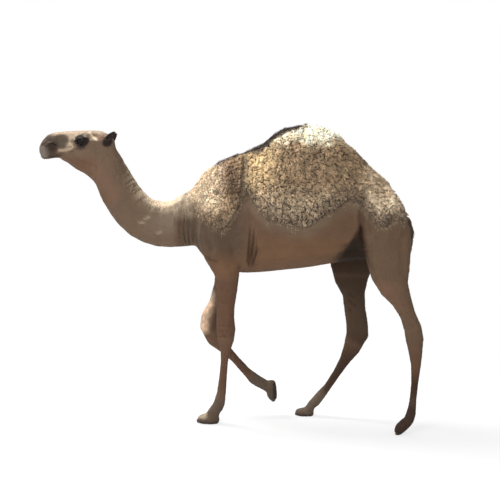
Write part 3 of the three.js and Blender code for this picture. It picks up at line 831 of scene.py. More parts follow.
def leg_markings_light_and_shade(colour, p, n, part, trunk):
    """Legs and feet, with painted shade on their inner sides, in the groin and under the belly, and painted
    light on two of the feet.
    """
    x, y, z = p.T
    upper = total(part, UPPER_LEGS)
    # shanks and feet pass into each other over a few centimetres
    lower = sum(part[f"soft {leg}_lower"] for leg in LEGS)
    foot = sum(part[f"soft {name}"] for name in FEET)
    near_hind = part["soft hindleg_left_lower"] * smooth(0.45, 0.32, z)
    far_hind = part["soft hindleg_right_lower"] * smooth(0.52, 0.38, z)
    lit_instep = part["foreleg_left_foot"] * smooth(0.35, 0.85, n[:, 2])
    turned_up = part["foreleg_right_foot"] * smooth(0.45, 0.8, n[:, 0])
    colour = paint(
        colour,
        ("thigh", upper * smooth(0.5, 0.8, x)),
        ("shin", upper * smooth(0.5, 0.3, x)),
        ("shin", lower),
        ("rose", 0.35 * upper * smooth(0.9, 1.0, x) * patch(p, (1.05, 0.98), (0.07, 0.22), 0.35, 0.8)),
        ("hock", 0.90 * near_hind + 0.70 * far_hind),
        ("foot", foot),
        # painted light: the right hind foot is a little lighter than the other feet
        ("tan", 0.12 * part["soft hindleg_right_foot"]),
        ("hock", 0.85 * foot * smooth(0.7, 0.9, x)),
        ("sole", 0.85 * foot * smooth(0.035, 0.010, z)),
        ("sole", 0.85 * turned_up),
        # painted light on the top of the left fore foot
        ("nape", 0.6 * lit_instep * smooth(-0.06, -0.12, x)),
    )
    inside = smooth(0.05, -0.5, n[:, 1] * np.sign(y)) * smooth(0.02, 0.06, np.abs(y))
    legs = (upper + 0.7 * lower) * smooth(0.3, 0.7, x)
    before_thigh = smooth(0.0, -0.03, x - np.interp(z, (1.02, 1.18, 1.31), (0.962, 0.934, 0.912)))
    under = smooth(0.02, -0.02, z - np.interp(x, (0.70, 0.93), (1.13, 1.28)))
    groin_shade = trunk * smooth(0.68, 0.76, x) * under * before_thigh
    belly_side = inside * trunk * smooth(1.20, 1.12, z) * smooth(0.6, 0.72, x)
    # painted shade on the inner sides of the legs, in the far thigh's hollows, in the groin and on the
    # belly's side
    colour = paint(
        colour,
        ("inner", (0.9 - 0.3 * smooth(0.98, 0.72, z)) * inside * legs),
        *(("inner", 0.8 * inside * streak(p, line, 0.009)) for line in HOLLOW_LINES),
        ("inner", 0.9 * np.maximum(groin_shade, belly_side)),
        ("inner", 0.5 * inside * upper * smooth(0.5, 0.1, x)),
    )
    # painted shade, darker still, in the groin's hollow and under the rear of the belly
    sunk = groin(p) * (trunk + upper) * (n[:, 1] < 0.5)
    below = trunk * smooth(0.74, 0.82, x) * smooth(-0.35, -0.75, n[:, 2])
    for dark, deeper in ((sunk, 0.25), (below, 0.35)):
        colour = paint(colour, ("inner", 0.97 * dark)) * (1 - deeper * dark[:, None])
    return colour


def neck_markings_and_light(colour, p, n, neck, trunk, flank):
    """Pale strokes along the nape, pale neck base, reddish throat, and painted light on the top of the neck.
    """
    x, y, z = p.T
    top = smooth(0.35, 0.85, n[:, 2])
    _, along = off_line(p, NAPE)
    stripes = smooth(-0.15, 0.15, mottle(np.stack([44 * along, 0 * x, 0 * x], axis=1), 0.60, 5))
    nape = neck * streak(p, NAPE, 0.055) * smooth(-0.72, -0.60, x)
    base = (neck + trunk) * smooth(-0.42, -0.27, x) * smooth(-0.12, -0.20, x)
    base = base * smooth(1.29, 1.43, z) * smooth(1.33, 1.46, z)
    bars = smooth(-0.5, 0.5, mottle(np.stack([x + 0.12 * z, 0 * y, 0.12 * z], axis=1), 0.008, 12))
    return paint(
        colour,
        ("jaw", 0.55 * neck * streak(p, THROAT, 0.045)),
        ("rose", 0.30 * neck * streak(p, THROAT_SIDE, 0.050)),
        ("brown", 0.70 * nape * (1 - stripes)),
        ("nape", 0.88 * nape * stripes),
        # painted light: the top of the neck is paler where light falls from above
        ("cream", 0.75 * neck * top * smooth(-0.76, -0.66, x) * (0.5 + 0.5 * stripes)),
        ("cream", 0.85 * neck * top * smooth(-0.56, -0.46, x)),
        ("cream", 0.50 * base * (0.20 + 0.80 * bars)),
        ("rose", 0.5 * neck * smooth(-0.34, -0.26, x) * smooth(1.34, 1.26, z)),
        *(("nape", 0.5 * flank * streak(p, line, 0.0060, fade=0.4)) for line in NECK_STROKES),
    )


def fleece_colour(p, above_edge):
    """Gold in front of the hump, nearly white on its top, grey-brown and frosty low down; the hump's top and
    the shoulder's fleece are partly paler wool and partly painted light.
    """
    x, _, z = p.T
    wool = TONES["fleece"] * (1 + 0.14 * mottle(p, 0.10, 6)[:, None] + 0.18 * mottle(p, 0.030, 7)[:, None])
    spots = smooth(-0.2, 0.5, mottle(p, 0.045, 16))
    low = smooth(1.66, 1.44, z + 0.03 * mottle(p, 0.05, 17)) * smooth(0.10, 0.25, x)
    cap = smooth(1.815, 1.925, z + 0.035 * mottle(p, 0.06, 13) + 0.025 * mottle(p, 0.022, 14))
    return paint(
        wool,
        ("brown", (0.08 + 0.34 * spots) * patch(p, (0.60, 1.71), (0.24, 0.13), 0.05, 0.8)),
        ("gold", 0.78 * patch(p, (0.235, 1.735), (0.115, 0.20), -0.25, 0.8)),
        ("fleece_low", low),
        ("rose", 0.45 * patch(p, (0.04, 1.68), (0.100, 0.11), 0.2, 0.8)),
        ("brown", 0.75 * patch(p, (0.085, 1.56), (0.050, 0.14), 0.15, 0.8)),
        ("cream", 0.95 * smooth(0.86, 0.96, x) * smooth(1.38, 1.50, z) * (0.4 + 0.6 * spots)),
        # painted shade along the rump's furrows
        *(("brown", 0.45 * streak(p, line, 0.014)) for line in RUMP_FURROWS),
        ("brown", 0.4 * streak(p, ((0.70, 1.60), (0.88, 1.53), (0.93, 1.45)), 0.030)),
        # nearly white top of the hump: partly paler wool, partly painted light
        ("white", cap * smooth(0.22, 0.34, x)),
        # pale fleece on the shoulder: partly paler wool, partly painted light
        ("cream", 0.85 * smooth(0.05, -0.08, x) * smooth(1.36, 1.50, z)),
        ("ash", (0.80 - 0.25 * spots) * smooth(0.13, 0.01, above_edge)),
    )


def fold_shade(colour, p, n, part, flank):
    """The painted shade that folds hold, and the pale front of the bent knee, partly a rubbed callus and
    partly painted light.
    """
    z = p[:, 2]
    outer = flank * (p[:, 1] * n[:, 1] > 0)
    knee = part["foreleg_right_upper"] + part["foreleg_right_lower"]
    rubbed_and_lit = knee * smooth(0.7, 0.1, n[:, 0]) * streak(p, RUBBED_AND_LIT_KNEE, 0.032)
    pale = 0.35 + 0.65 * smooth(-0.4, 0.3, mottle(p, 0.018, 19))
    return paint(
        colour,
        ("fold", 0.35 * flank * streak(p, SEAM, 0.026)),
        *(("fold", 0.85 * outer * streak(p, line, 0.0085, fade=0.30)) for line in ARMPIT_FOLDS),
        ("fold", 0.55 * outer * patch(p, (0.196, 1.135), (0.026, 0.095), -0.15, 0.8)),
        *(("fold", 0.6 * flank * streak(p, line, 0.006) * smooth(1.31, 1.21, z)) for line in NECK_FOLDS),
        *(("fold", 0.6 * flank * streak(p, line, 0.009)) for line in CHEST_FOLDS),
        ("fold", 0.35 * outer * streak(p, THIGH_EDGE, 0.016)),
        # pale front of the bent knee: partly a rubbed callus, partly painted light
        ("tan", rubbed_and_lit * (0.85 + 0.3 * mottle(p, 0.012, 18))),
        ("peach", rubbed_and_lit * pale * smooth(0.86, 0.74, z)),
    )


def face_markings_light_and_shade(colour, p, n, part, flank):
    """Head and ears: pale brow and cheek, dark muzzle, eye surround and ears, with painted light and painted
    shade.
    """
    x, y, z = p.T
    top = smooth(0.35, 0.85, n[:, 2])
    side = smooth(0.35, 0.75, np.abs(n[:, 1]))
    half_side = smooth(0.2, 0.5, np.abs(n[:, 1]))
    leaf = total(part, EARS)
    head = part["head"] + leaf
    crown = smooth(-0.945, -0.925, x - 0.35 * (z - 1.94)) * smooth(1.886, 1.904, z)
    crown = crown * smooth(1.958, 1.950, z) * smooth(-0.835, -0.855, x)
    lips = smooth(1.872, 1.845, z) * smooth(1.772, 1.785, z)
    slit = streak(p, NOSTRIL, 0.0048, fade=0) * smooth(0.1, 0.4, np.abs(n[:, 1]))
    back = smooth(-1.250, -1.205, x) * smooth(-1.120, -1.165, x)
    face = paint(
        colour,
        ("jaw", 0.8 * smooth(1.82, 1.74, z) * smooth(-0.86, -0.97, x)),
        # pale top of the head, partly painted light, and the pale band that comes down in front of the eye
        ("forehead", 0.97 * smooth(1.916, 1.936, z + 0.01 * top) * smooth(-0.84, -0.90, x)),
        ("forehead", 0.97 * patch(p, (-1.052, 1.922), (0.028, 0.034), 0.0, 0.4)),
        ("tan", 0.95 * streak(p, ((-1.056, 1.915), (-1.072, 1.890), (-1.086, 1.866)), 0.015, fade=0.05)),
        # painted shade just in front of the eye
        ("foot", 0.7 * patch(p, (-1.040, 1.885), (0.022, 0.014)) * side),
        ("tan", 0.95 * patch(p, (-1.073, 1.864), (0.031, 0.018), 0.3, 0.5)),
        ("tan", 0.97 * streak(p, CHEEK_ROLL, 0.0105)),
        # painted shade along the crease above the cheek roll
        ("foot", 0.6 * streak(p, ((-1.098, 1.851), (-1.066, 1.849), (-1.034, 1.858)), 0.0040)),
        ("nape", 0.6 * streak(p, CHEEK_LOOP, 0.0060, fade=0.1)),
        # painted shadow under the cheek roll
        ("muzzle", 0.6 * patch(p, (-1.132, 1.810), (0.020, 0.007), -0.1, 0.7)),
        ("muzzle", 0.7 * patch(p, (-1.056, 1.821), (0.020, 0.006), 0.2, 0.7)),
        # crown, mottled, behind the pale brow
        ("tan", 0.9 * crown),
        ("brown", 0.75 * crown * patch(p, (-0.896, 1.930), (0.036, 0.013), -0.25, 0.6)),
        ("rose", 0.8 * crown * patch(p, (-0.852, 1.905), (0.024, 0.026), 0.0, 0.7)),
        # dark muzzle with a grey lip, and the olive patch on the side of the nose
        ("muzzle", 0.95 * smooth(-1.150, -1.205, x + 0.25 * (z - 1.86))),
        ("olive", 0.80 * patch(p, (-1.162, 1.893), (0.040, 0.034), -0.2, 0.5) * side),
        ("olive", 0.95 * patch(p, (-1.130, 1.890), (0.053, 0.046), -0.1, 0.22) * half_side),
        # painted light on the top of the muzzle
        ("forehead", 0.55 * top * smooth(-1.235, -1.17, x)),
        ("lip", 0.95 * smooth(-1.210, -1.262, x) * lips),
        # painted shade in the hollow under the nostril's wing
        ("nostril", 0.85 * patch(p, (-1.188, 1.852), (0.034, 0.030), 0.3, 0.6) * flank),
        # painted shade in the nostril's slit
        ("pit", 0.9 * slit * smooth(-1.250, -1.220, x)),
        # painted light on the rim of the nostril's wing
        ("lip", 0.55 * flank * streak(p, NOSTRIL_WING, 0.006)),
        # painted shade along the mouth
        ("muzzle", 0.7 * streak(p, MOUTH, 0.014, fade=0) * back),
        ("nostril", 0.7 * streak(p, MOUTH, 0.0060, fade=0) * back),
    )
    # dark lids with painted shade round the eye, a painted shadow under it, painted light on the upper lid
    # and the pale brow behind it
    for eye in eyes.values():
        own = y * eye["sign"] > 0.02
        # painted shadow under the eye, and a dark ring of lids and painted shade round it
        below = patch(p, (eye["at"].x - 0.002, eye["at"].z - 0.042), (0.032, 0.018), 0.1, 0.7)
        ring = patch(p, (eye["at"].x + 0.004, eye["at"].z + 0.004), (0.050, 0.043), 0.05, 0.16)
        face = paint(face, ("nostril", 0.7 * own * below), ("lid", 0.97 * own * ring))
    face = paint(
        face,
        # painted shade in the crease above the upper lid
        ("brown", 0.6 * side * streak(p, LID_LINE, 0.005)),
        # painted light on the upper lid
        ("cream", 0.65 * side * patch(p, (-0.953, 1.921), (0.015, 0.0055), -0.45, 0.6)),
        ("cream", 0.85 * side * streak(p, PALE_BROW, 0.0036, fade=0.1)),
        ("cream", 0.97 * side * patch(p, (-0.890, 1.904), (0.020, 0.0080), -0.60, 0.5)),
    )
    whole = colour + (face - colour) * np.clip(1.15 * head, 0, 1)[:, None]
    root = patch(p, (-0.808, 1.882), (0.036, 0.030), 0.7, 0.3) * smooth(0.02, 0.034, np.abs(y))
    ears = np.maximum(smooth(0.2, 0.6, leaf), root)
    return paint(whole, ("ear", 0.97 * np.clip(1.3 * head, 0, 1) * ears))


# ---- materials ----

def body_material(name, roughness, fuzz, grain, bump, contrast):
    """Skin and hair: the painted tint, mottled finely, with a fine rough surface."""
    material, nodes, place = new_material(name)
    fine = nodes.noise(place, grain, 4, 0.65)
    broad_tone = nodes.ramp(nodes.noise(place, 9, 2), 0.3, 0.7, 0.95, 1.05)
    fine_tone = nodes.ramp(fine, 0.25, 0.75, 1 - contrast, 1 + contrast)
    nodes.principled({
        "Base Color": nodes.tinted(nodes.math("MULTIPLY", broad_tone, fine_tone)),
        "Roughness": nodes.ramp(fine, 0.2, 0.8, roughness - 0.08, roughness + 0.06),
        "Normal": nodes.bump(fine, 0.7, bump),
        "Specular IOR Level": 0.15,
        "Sheen Weight": fuzz,
        "Sheen Roughness": 0.5,
    })
    return material


def eye_material():
    """The eyeball's painted tint with faint fibres, under a wet film."""
    material, nodes, place = new_material("eye")
    nodes.principled({
        "Base Color": nodes.tinted(nodes.ramp(nodes.noise(place, 900, 3), 0.3, 0.7, 0.75, 1.25)),
        "Roughness": nodes.ramp(nodes.noise(place, 60), 0.3, 0.7, 0.05, 0.10),
        "Normal": nodes.bump(nodes.noise(place, 220), 0.12, 0.0003),
        "Specular IOR Level": 0.12,
        "Coat Weight": 0.15,
        "Coat Roughness": 0.03,
    })
    return material


def horn_material():
    """Toenail horn, dull and dark, with fine level rings."""
    material, nodes, place = new_material("horn")
    flat = nodes.add("ShaderNodeMapping", {"Vector": place, "Scale": (30, 30, 240)}).outputs[0]
    rings = nodes.noise(flat, 1.0, 3)
    ramp = nodes.add("ShaderNodeValToRGB", {"Fac": rings})
    for k, (position, name) in enumerate(((0.3, "horn_dark"), (0.75, "horn_pale"))):
        stop = ramp.color_ramp.elements[k]
        stop.position = position
        stop.color = (*TONES[name], 1)
    nodes.principled({
        "Base Color": ramp.outputs[0],
        "Roughness": nodes.ramp(rings, 0.3, 0.7, 0.42, 0.62),
        "Normal": nodes.bump(rings, 0.5, 0.0008),
    })
    return material


def put_tint(mesh, colour):
    """Keeps each point's colour with the mesh, for the materials."""
    layer = mesh.attributes.new("tint", "FLOAT_COLOR", "POINT")
    rgba = np.ones((len(colour), 4), np.float32)
    rgba[:, :3] = np.clip(colour, 0, 1)
    layer.data.foreach_set("color", rgba.ravel())


# ---- the coat's map: each solid's stretch of skin, unrolled into its own cell ----

def unrolled(p, owner, solid_axes, cells):
    """Places on the map: round each solid's middle line and along it."""
    uv = np.zeros((len(p), 2))
    for k, name in enumerate(FLESH):
        mine = owner == k
        if not mine.any():
            continue
        axis, first, second, knots, centre = solid_axes[name]
        q = p[mine]
        t = q @ axis
        middle = np.stack([np.interp(t, knots, centre[:, j]) for j in range(3)], axis=1)
        off = q - middle
        turn = np.arctan2(off @ second, off @ first) / (2 * math.pi) + 0.5
        reach = (t - knots[0]) / max(knots[-1] - knots[0], 1e-6)
        u, v, wide, high = cells[name]
        margin = 0.004
        uv[mine, 0] = u + margin + np.clip(turn, 0, 1) * (wide - 2 * margin)
        uv[mine, 1] = v + margin + np.clip(reach, 0, 1) * (high - 2 * margin)
    return uv


def map_cells(net, owner):
    """The line down the middle of each solid's skin, and a cell of the map as large as its share."""
    corner = net.p[net.tris]
    face = np.linalg.norm(np.cross(corner[:, 1] - corner[:, 0], corner[:, 2] - corner[:, 0]), axis=1)
    area = np.bincount(owner[net.tris[:, 0]], face, len(FLESH))
    axes, cells = {}, {}
    for k, name in enumerate(FLESH):
        q = net.p[owner == k]
        axis = np.array([1.0, 0, 0]) if name in TRUNK + ["head"] else unit(hair_lies(name))
        first = unit(np.cross(axis, (0, 1, 0)))
        t = q @ axis
        knots = np.linspace(t.min(), t.max(), 9)
        slices = [q[np.abs(t - knot) < knots[1] - knots[0]] for knot in knots]
        centre = np.array([(near.max(0) + near.min(0)) / 2 for near in slices])
        axes[name] = (axis, first, np.cross(axis, first), knots, centre)
    order = sorted(range(len(FLESH)), key=lambda k: -area[k])
    rows = [order[:2], order[2:5], order[5:9], order[9:14], order[14:]]
    v = 0.0
    for row in rows:
        high = sum(area[k] for k in row) / area.sum()
        u = 0.0
        for k in row:
            wide = area[k] / sum(area[j] for j in row)
            cells[FLESH[k]] = (u, v, wide, high)
            u += wide
        v += high
    return axes, cells


# ---- tufts and locks ----

# Tufts and locks to the square metre.
ON_BODY, ON_FACE, ON_EARS, ON_FEET, IN_FLEECE = 16000, 58000, 56000, 28000, 21000
FACE_STARTS = (1.25, 1.80)  # the short hair grows finer between these two, up the neck
STRETCHES = {"front": (-9, 0.27), "middle": (0.27, 0.66), "back": (0.66, 9)}  # of the fleece, along X
LASH_ROWS = (  # height on the lid, number, shift to the side, length
    (0.0155, 60, 0.0, 0.030), (0.0175, 56, 0.02, 0.027), (0.0195, 50, 0.03, 0.022), (-0.0130, 34, 0.0, 0.012),
)


def sow(density):
    """Roots spread evenly over the skin, so many to the square metre."""
    corner = net.p[net.tris]
    double = np.linalg.norm(np.cross(corner[:, 1] - corner[:, 0], corner[:, 2] - corner[:, 0]), axis=1)
    want = double / 2 * density[net.tris].mean(1) * thin
    face = np.repeat(np.arange(len(want)), np.floor(want + rng.random(len(want))).astype(int))
    a, b = rng.random((2, len(face)))
    flip = a + b > 1
    a, b = np.where(flip, 1 - a, a), np.where(flip, 1 - b, b)
    weight = np.stack([1 - a - b, a, b], axis=1)
    tri = net.tris[face]

    def blend(value):
        return np.einsum("ij,ijk->ik", weight, value[tri])

    bed = {"at": blend(net.p), "up": unit(blend(normal)), "owner": owner[tri[:, 0]]}
    lie = blend(lies)
    lie[:, 2] -= 0.5 * np.abs(bed["up"][:, 1])  # on the sides the hair also hangs down
    lie -= dot(lie, bed["up"])[:, None] * bed["up"]
    bed["lie"] = unit(lie)
    share = blend(shares)
    bed["part"] = {name: share[:, k] for k, name in enumerate(parts)}
    bed["woolly"] = np.clip(fleece(bed["at"]), 0, 1)
    bed["tint"] = markings_light_and_shade(bed["at"], bed["up"], bed["part"], bed["woolly"])
    bed["uv"] = unrolled(bed["at"], bed["owner"], *coat_map)
    return bed


def choose(bed, mask):
    """The roots of a bed that the mask keeps."""
    chosen = {}
    for key, value in bed.items():
        chosen[key] = {k: v[mask] for k, v in value.items()} if isinstance(value, dict) else value[mask]
    return chosen


def turned(bed, spread):
    """The lie with a random swing to either side, and the direction across it."""
    swing = rng.normal(0, spread, len(bed["at"]))[:, None]
    across = np.cross(bed["up"], bed["lie"])
    lie = np.cos(swing) * bed["lie"] + np.sin(swing) * across
    return lie, np.cross(bed["up"], lie)


def strands(bed, line, wide, deep, root_tone, tip_tone):
    """Closed tapered three-sided strands. line is (count, rings + 1, 3); its last point is the tip."""
    count, rings, sides = line.shape[0], line.shape[1] - 1, 3
    ahead = unit(np.gradient(line, axis=1))
    across = unit(np.cross(bed["up"][:, None], ahead))
    above = np.cross(ahead, across)
    angle = 2 * math.pi * (np.arange(sides) + 0.25 * sides) / sides
    ring = (
        line[:, :rings, None]
        + (wide[..., None] * np.cos(angle))[..., None] * across[:, :rings, None]
        + (deep[..., None] * np.sin(angle))[..., None] * above[:, :rings, None]
    )
    points = np.concatenate([ring.reshape(count, -1, 3), line[:, rings:]], axis=1)
    points[..., 2] = np.maximum(points[..., 2], ABOVE_GROUND)
    faces = []
    for k in range(rings - 1):
        for i in range(sides):
            a, b = k * sides + i, k * sides + (i + 1) % sides
            faces += [(a, b, b + sides), (a, b + sides, a + sides)]
    last = (rings - 1) * sides
    faces += [(last + i, last + (i + 1) % sides, rings * sides) for i in range(sides)]
    faces += [(0, i + 1, i) for i in range(1, sides - 1)]
    size = points.shape[1]
    reach = np.append(np.repeat(np.arange(rings), sides), rings) / rings
    over = np.append(np.tile(np.arange(sides), rings) / (sides - 1), 0.5)
    root_tint, tip_tint = bed["tint"] * root_tone, bed["tint"] * tip_tone
    mix = (reach**0.8)[None, :, None]
    return {
        "points": points.reshape(-1, 3),
        "faces": (np.array(faces)[None] + size * np.arange(count)[:, None, None]).reshape(-1, 3),
        "tint": (root_tint[:, None] * (1 - mix) + tip_tint[:, None] * mix).reshape(-1, 3),
        "uv": (bed["uv"][:, None] + PATCH * (np.stack([over, reach], axis=1)[None] - 0.5)).reshape(-1, 2),
    }


def coat_piece(name, groups, material, rounded=True):
    """One mesh object from groups of strands."""
    start, faces = 0, []
    for group in groups:
        faces.append(group["faces"] + start)
        start += len(group["points"])
    faces = np.concatenate(faces)
    points, tint, uv = (np.concatenate([group[key] for group in groups]) for key in ("points", "tint", "uv"))
    assert len(faces) < MOST_TRIANGLES, f"{name} has {len(faces)} triangles"
    mesh = bpy.data.meshes.new(name)
    mesh.vertices.add(len(points))
    mesh.vertices.foreach_set("co", points.astype(np.float32).ravel())
    mesh.loops.add(faces.size)
    mesh.loops.foreach_set("vertex_index", faces.astype(np.int32).ravel())
    mesh.polygons.add(len(faces))
    mesh.polygons.foreach_set("loop_start", np.arange(0, faces.size, 3, dtype=np.int32))
    mesh.update(calc_edges=True)
    if rounded:
        mesh.shade_smooth()
    else:
        mesh.shade_flat()
    layer = mesh.uv_layers.new(name="OFBake")
    layer.data.foreach_set("uv", np.clip(uv[faces.ravel()], 0, 1).astype(np.float32).ravel())
    put_tint(mesh, tint)
    mesh.materials.append(material)
    thing = new_object(name, mesh)
    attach(thing, "root")


def flat_tufts(bed, length, width, rise):
    """Short hair: slim pointed tufts that lie back along the skin and overlap."""
    lie, across = turned(bed, 0.18)
    count = len(bed["at"])
    length = (length * rng.uniform(0.75, 1.25, count))[:, None]
    rise = (rise * rng.uniform(0.5, 1.3, count))[:, None]
    half = (width * rng.uniform(0.75, 1.2, count) / 2)[:, None]
    up, at = bed["up"], bed["at"]
    root = at - 0.0010 * up
    middle = at + 0.45 * length * lie + 0.9 * rise * up
    tip = at + length * lie + 0.6 * rise * up
    left, above, right = middle - half * across, middle + 0.3 * half * up, middle + half * across
    points = np.stack([root, left, above, right, tip], axis=1)
    points[..., 2] = np.maximum(points[..., 2], ABOVE_GROUND)
    faces = np.array([(0, 1, 2), (0, 2, 3), (0, 3, 1), (4, 2, 1), (4, 3, 2), (4, 1, 3)])
    tone = 0.91 * rng.uniform(0.94, 1.06, (count, 1, 1)) * np.array([0.97, 1.0, 1.0, 1.0, 1.04])[:, None]
    spot = np.array([(0.5, 0.0), (0.0, 0.45), (0.5, 0.45), (1.0, 0.45), (0.5, 1.0)])
    return {
        "points": points.reshape(-1, 3),
        "faces": (faces[None] + 5 * np.arange(count)[:, None, None]).reshape(-1, 3),
        "tint": (bed["tint"][:, None] * tone).reshape(-1, 3),
        "uv": (bed["uv"][:, None] + PATCH * (spot[None] - 0.5)).reshape(-1, 2),
    }


def curly_locks(bed, depth):
    """Fleece: fat curled locks that lean together in clumps, dark at the root and pale at the tip."""
    count = len(bed["at"])
    clump_at = bed["at"][rng.random(count) < 0.11]  # one clump to every nine locks
    tree = KDTree(len(clump_at))
    for k, at in enumerate(clump_at):
        tree.insert(at, k)
    tree.balance()
    clump = np.array([tree.find(at)[1] for at in bed["at"]])
    clumps = len(clump_at)
    lean = rng.normal(0, 0.30, (clumps, 2))[clump]
    spin = rng.uniform(0, 2 * math.pi, clumps)[clump]
    way = np.where(rng.random(clumps) < 0.5, 1.0, -1.0)[clump]
    lie, across = turned(bed, 0.25)
    up, at = bed["up"], bed["at"]
    to_middle = clump_at[clump] - at
    to_middle -= dot(to_middle, up)[:, None] * up
    rim = np.clip(np.linalg.norm(to_middle, axis=1) / 0.013, 0, 1)  # 0 in the middle of a clump
    height = depth * rng.uniform(0.88, 1.12, count) * rng.uniform(0.84, 1.1, clumps)[clump]
    height = height * (1.03 - 0.13 * rim)
    low = smooth(1.66, 1.46, at[:, 2]) * (rng.random(count) < 0.22)
    frost = (1 + 0.9 * low * rng.uniform(0.3, 1.0, count))[:, None]  # single pale tips, low down
    # painted shade: locks at a clump's rim are darker, like the gaps between clumps
    tone = rng.uniform(0.76, 1.28, clumps)[clump] * rng.uniform(0.88, 1.12, count) * (1.08 - 0.12 * rim)
    tone = tone[:, None]
    # the lock's middle line: it climbs, drifts along the lie, gathers into its clump and curls
    s = np.linspace(0, 1, 6)[None, :, None]
    h = height[:, None, None]
    climb = h * (1 - (1 - s) ** 2) - 0.16 * h * s**4
    drift = (0.75 + lean[:, :1, None]) * h * s**1.5 * lie[:, None]
    drift = drift + lean[:, 1:, None] * h * s * across[:, None]
    gather = 0.30 * s**1.5 * to_middle[:, None]
    phase = spin[:, None, None] + rng.normal(0, 0.5, count)[:, None, None]
    turn = phase + way[:, None, None] * 2 * math.pi * 0.95 * s
    curl = 0.0040 * np.minimum(1, h / 0.018) * np.minimum(1, 2 * s)
    loops = curl * (np.cos(turn) * lie[:, None] + np.sin(turn) * across[:, None])
    line = at[:, None] - 0.002 * up[:, None] + climb * up[:, None] + drift + gather + loops
    body = np.array([1.15, 1.15, 1.05, 0.9, 0.62])
    fat = 0.0042 * (1 + 0.30 * smooth(1.84, 1.93, at[:, 2])) * np.clip(depth / 0.020, 0.5, 1.1)
    half = (fat * rng.uniform(0.85, 1.15, count))[:, None] * body
    return strands(bed, line, half, 0.9 * half, 0.90 * tone, 1.20 * tone * frost)


def long_hairs(bed, length, width, stand, droop, root_tone, tip_tone, spread, way=None):
    """Longer hair: slim strands that rise from the skin and bend over."""
    if way is not None:
        way = np.broadcast_to(way, bed["at"].shape)
        bed = dict(bed, lie=unit(way - dot(way, bed["up"])[:, None] * bed["up"]))
    lie, _ = turned(bed, spread)
    count = len(bed["at"])
    reach = (length * rng.uniform(0.7, 1.2, count))[:, None, None]
    s = np.linspace(0, 1, 5)[None, :, None]
    rise = stand * s - droop * s**2
    line = (bed["at"] - 0.001 * bed["up"])[:, None] + reach * (s * lie[:, None] + rise * bed["up"][:, None])
    half = (width / 2 * rng.uniform(0.8, 1.2, count))[:, None] * np.array([0.9, 1.0, 0.85, 0.55])
    tone = rng.uniform(0.88, 1.12, (count, 1))
    return strands(bed, line, half, 0.6 * half, root_tone * tone, tip_tone * tone)


def short_hair_density():
    """Short tufts to the square metre, thickest on head and ears, none on eyes and soles."""
    p = net.p
    neck = parts["head"] + total(parts, NECK)
    ears = total(parts, EARS)
    foot = total(parts, FEET)
    lower = total(parts, SHANKS)
    plain = ON_BODY * np.clip(1 - 1.6 * woolly_all, 0, 1)
    up_neck = smooth(*FACE_STARTS, p @ UP_NECK) * neck
    finer = ((up_neck, ON_FACE), (ears, ON_EARS), (foot, ON_FEET))
    density = plain + sum(region * (full - plain) for region, full in finer)
    density *= (1 + 0.15 * lower) * (1 - 0.35 * smooth(-1.17, -1.24, p[:, 0]))
    for eye in eyes.values():
        density *= smooth(0.026, 0.034, np.linalg.norm(p - np.array(eye["at"]), axis=1))
    for line in ARMPIT_FOLDS:
        density *= 1 - 0.9 * streak(p, line, 0.011, fade=0) * (p[:, 1] < -0.1)
    for line in (*NECK_FOLDS, *CHEST_FOLDS):
        density *= 1 - 0.6 * streak(p, line, 0.008, fade=0)
    return density * (1 - smooth(-0.5, -0.8, normal[:, 2]) * (p[:, 2] < 0.06))


def make_short_coat():
    """Flat tufts on all that isn't fleece, finer towards the face and the feet."""
    bed = sow(short_hair_density())
    part, x = bed["part"], bed["at"][:, 0]
    face = smooth(*FACE_STARTS, bed["at"] @ UP_NECK) * (x < -0.25)
    face = np.clip(np.maximum(face, total(part, EARS)), 0, 1)
    feet = total(part, FEET)
    shin = total(part, SHANKS)
    length = 0.0190 - 0.0085 * face - 0.0065 * np.clip(feet, 0, 1) - 0.004 * np.clip(shin, 0, 1)
    length *= 1 - 0.40 * smooth(-1.10, -1.22, x)
    width = 0.0038 - 0.0020 * face - 0.0010 * np.clip(feet + 0.5 * shin, 0, 1)
    rise = 0.0014 - 0.0012 * np.clip(face + 0.45 * feet + 0.3 * shin, 0, 1)

    names = np.array(FLESH)[bed["owner"]]
    head = np.isin(names, ["head", *EARS])
    neck = np.isin(names, NECK)
    trunk = np.isin(names, [*TRUNK, "tail"])
    legs = ~(head | neck | trunk)
    left = np.char.find(names, "_left") >= 0
    regions = {"head": head, "neck": neck, "trunk": trunk}
    regions |= {"legs_left": legs & left, "legs_right": legs & ~left}
    for name, mask in regions.items():
        tufts = flat_tufts(choose(bed, mask), length[mask], width[mask], rise[mask])
        coat_piece(f"coat_{name}", [tufts], hair, rounded=False)


def make_fleece():
    """Curled locks in three stretches on each side, leaving the dark crest free."""
    thick = np.clip(woolly_all * 1.3, 0, 1) * (woolly_all > 0.08) * (1 - parts["tail"])
    wool = sow(thick * IN_FLEECE)
    on_crest = (off_ridge(wool["at"]) < 0.036) & (np.abs(wool["at"][:, 1]) < 0.090)
    wool = choose(wool, (wool["woolly"] > 0.07) & ~on_crest)
    x, y, _ = wool["at"].T
    depth = fleece_depth(x) * (0.45 + 0.55 * smooth(0.1, 0.8, wool["woolly"]))
    for side, sign in SIDES.items():
        for place, (start, end) in STRETCHES.items():
            mask = (y * sign >= 0) & (x >= start) & (x < end)
            locks = curly_locks(choose(wool, mask), depth[mask])
            coat_piece(f"fleece_{side}_{place}", [locks], fleece_hair)


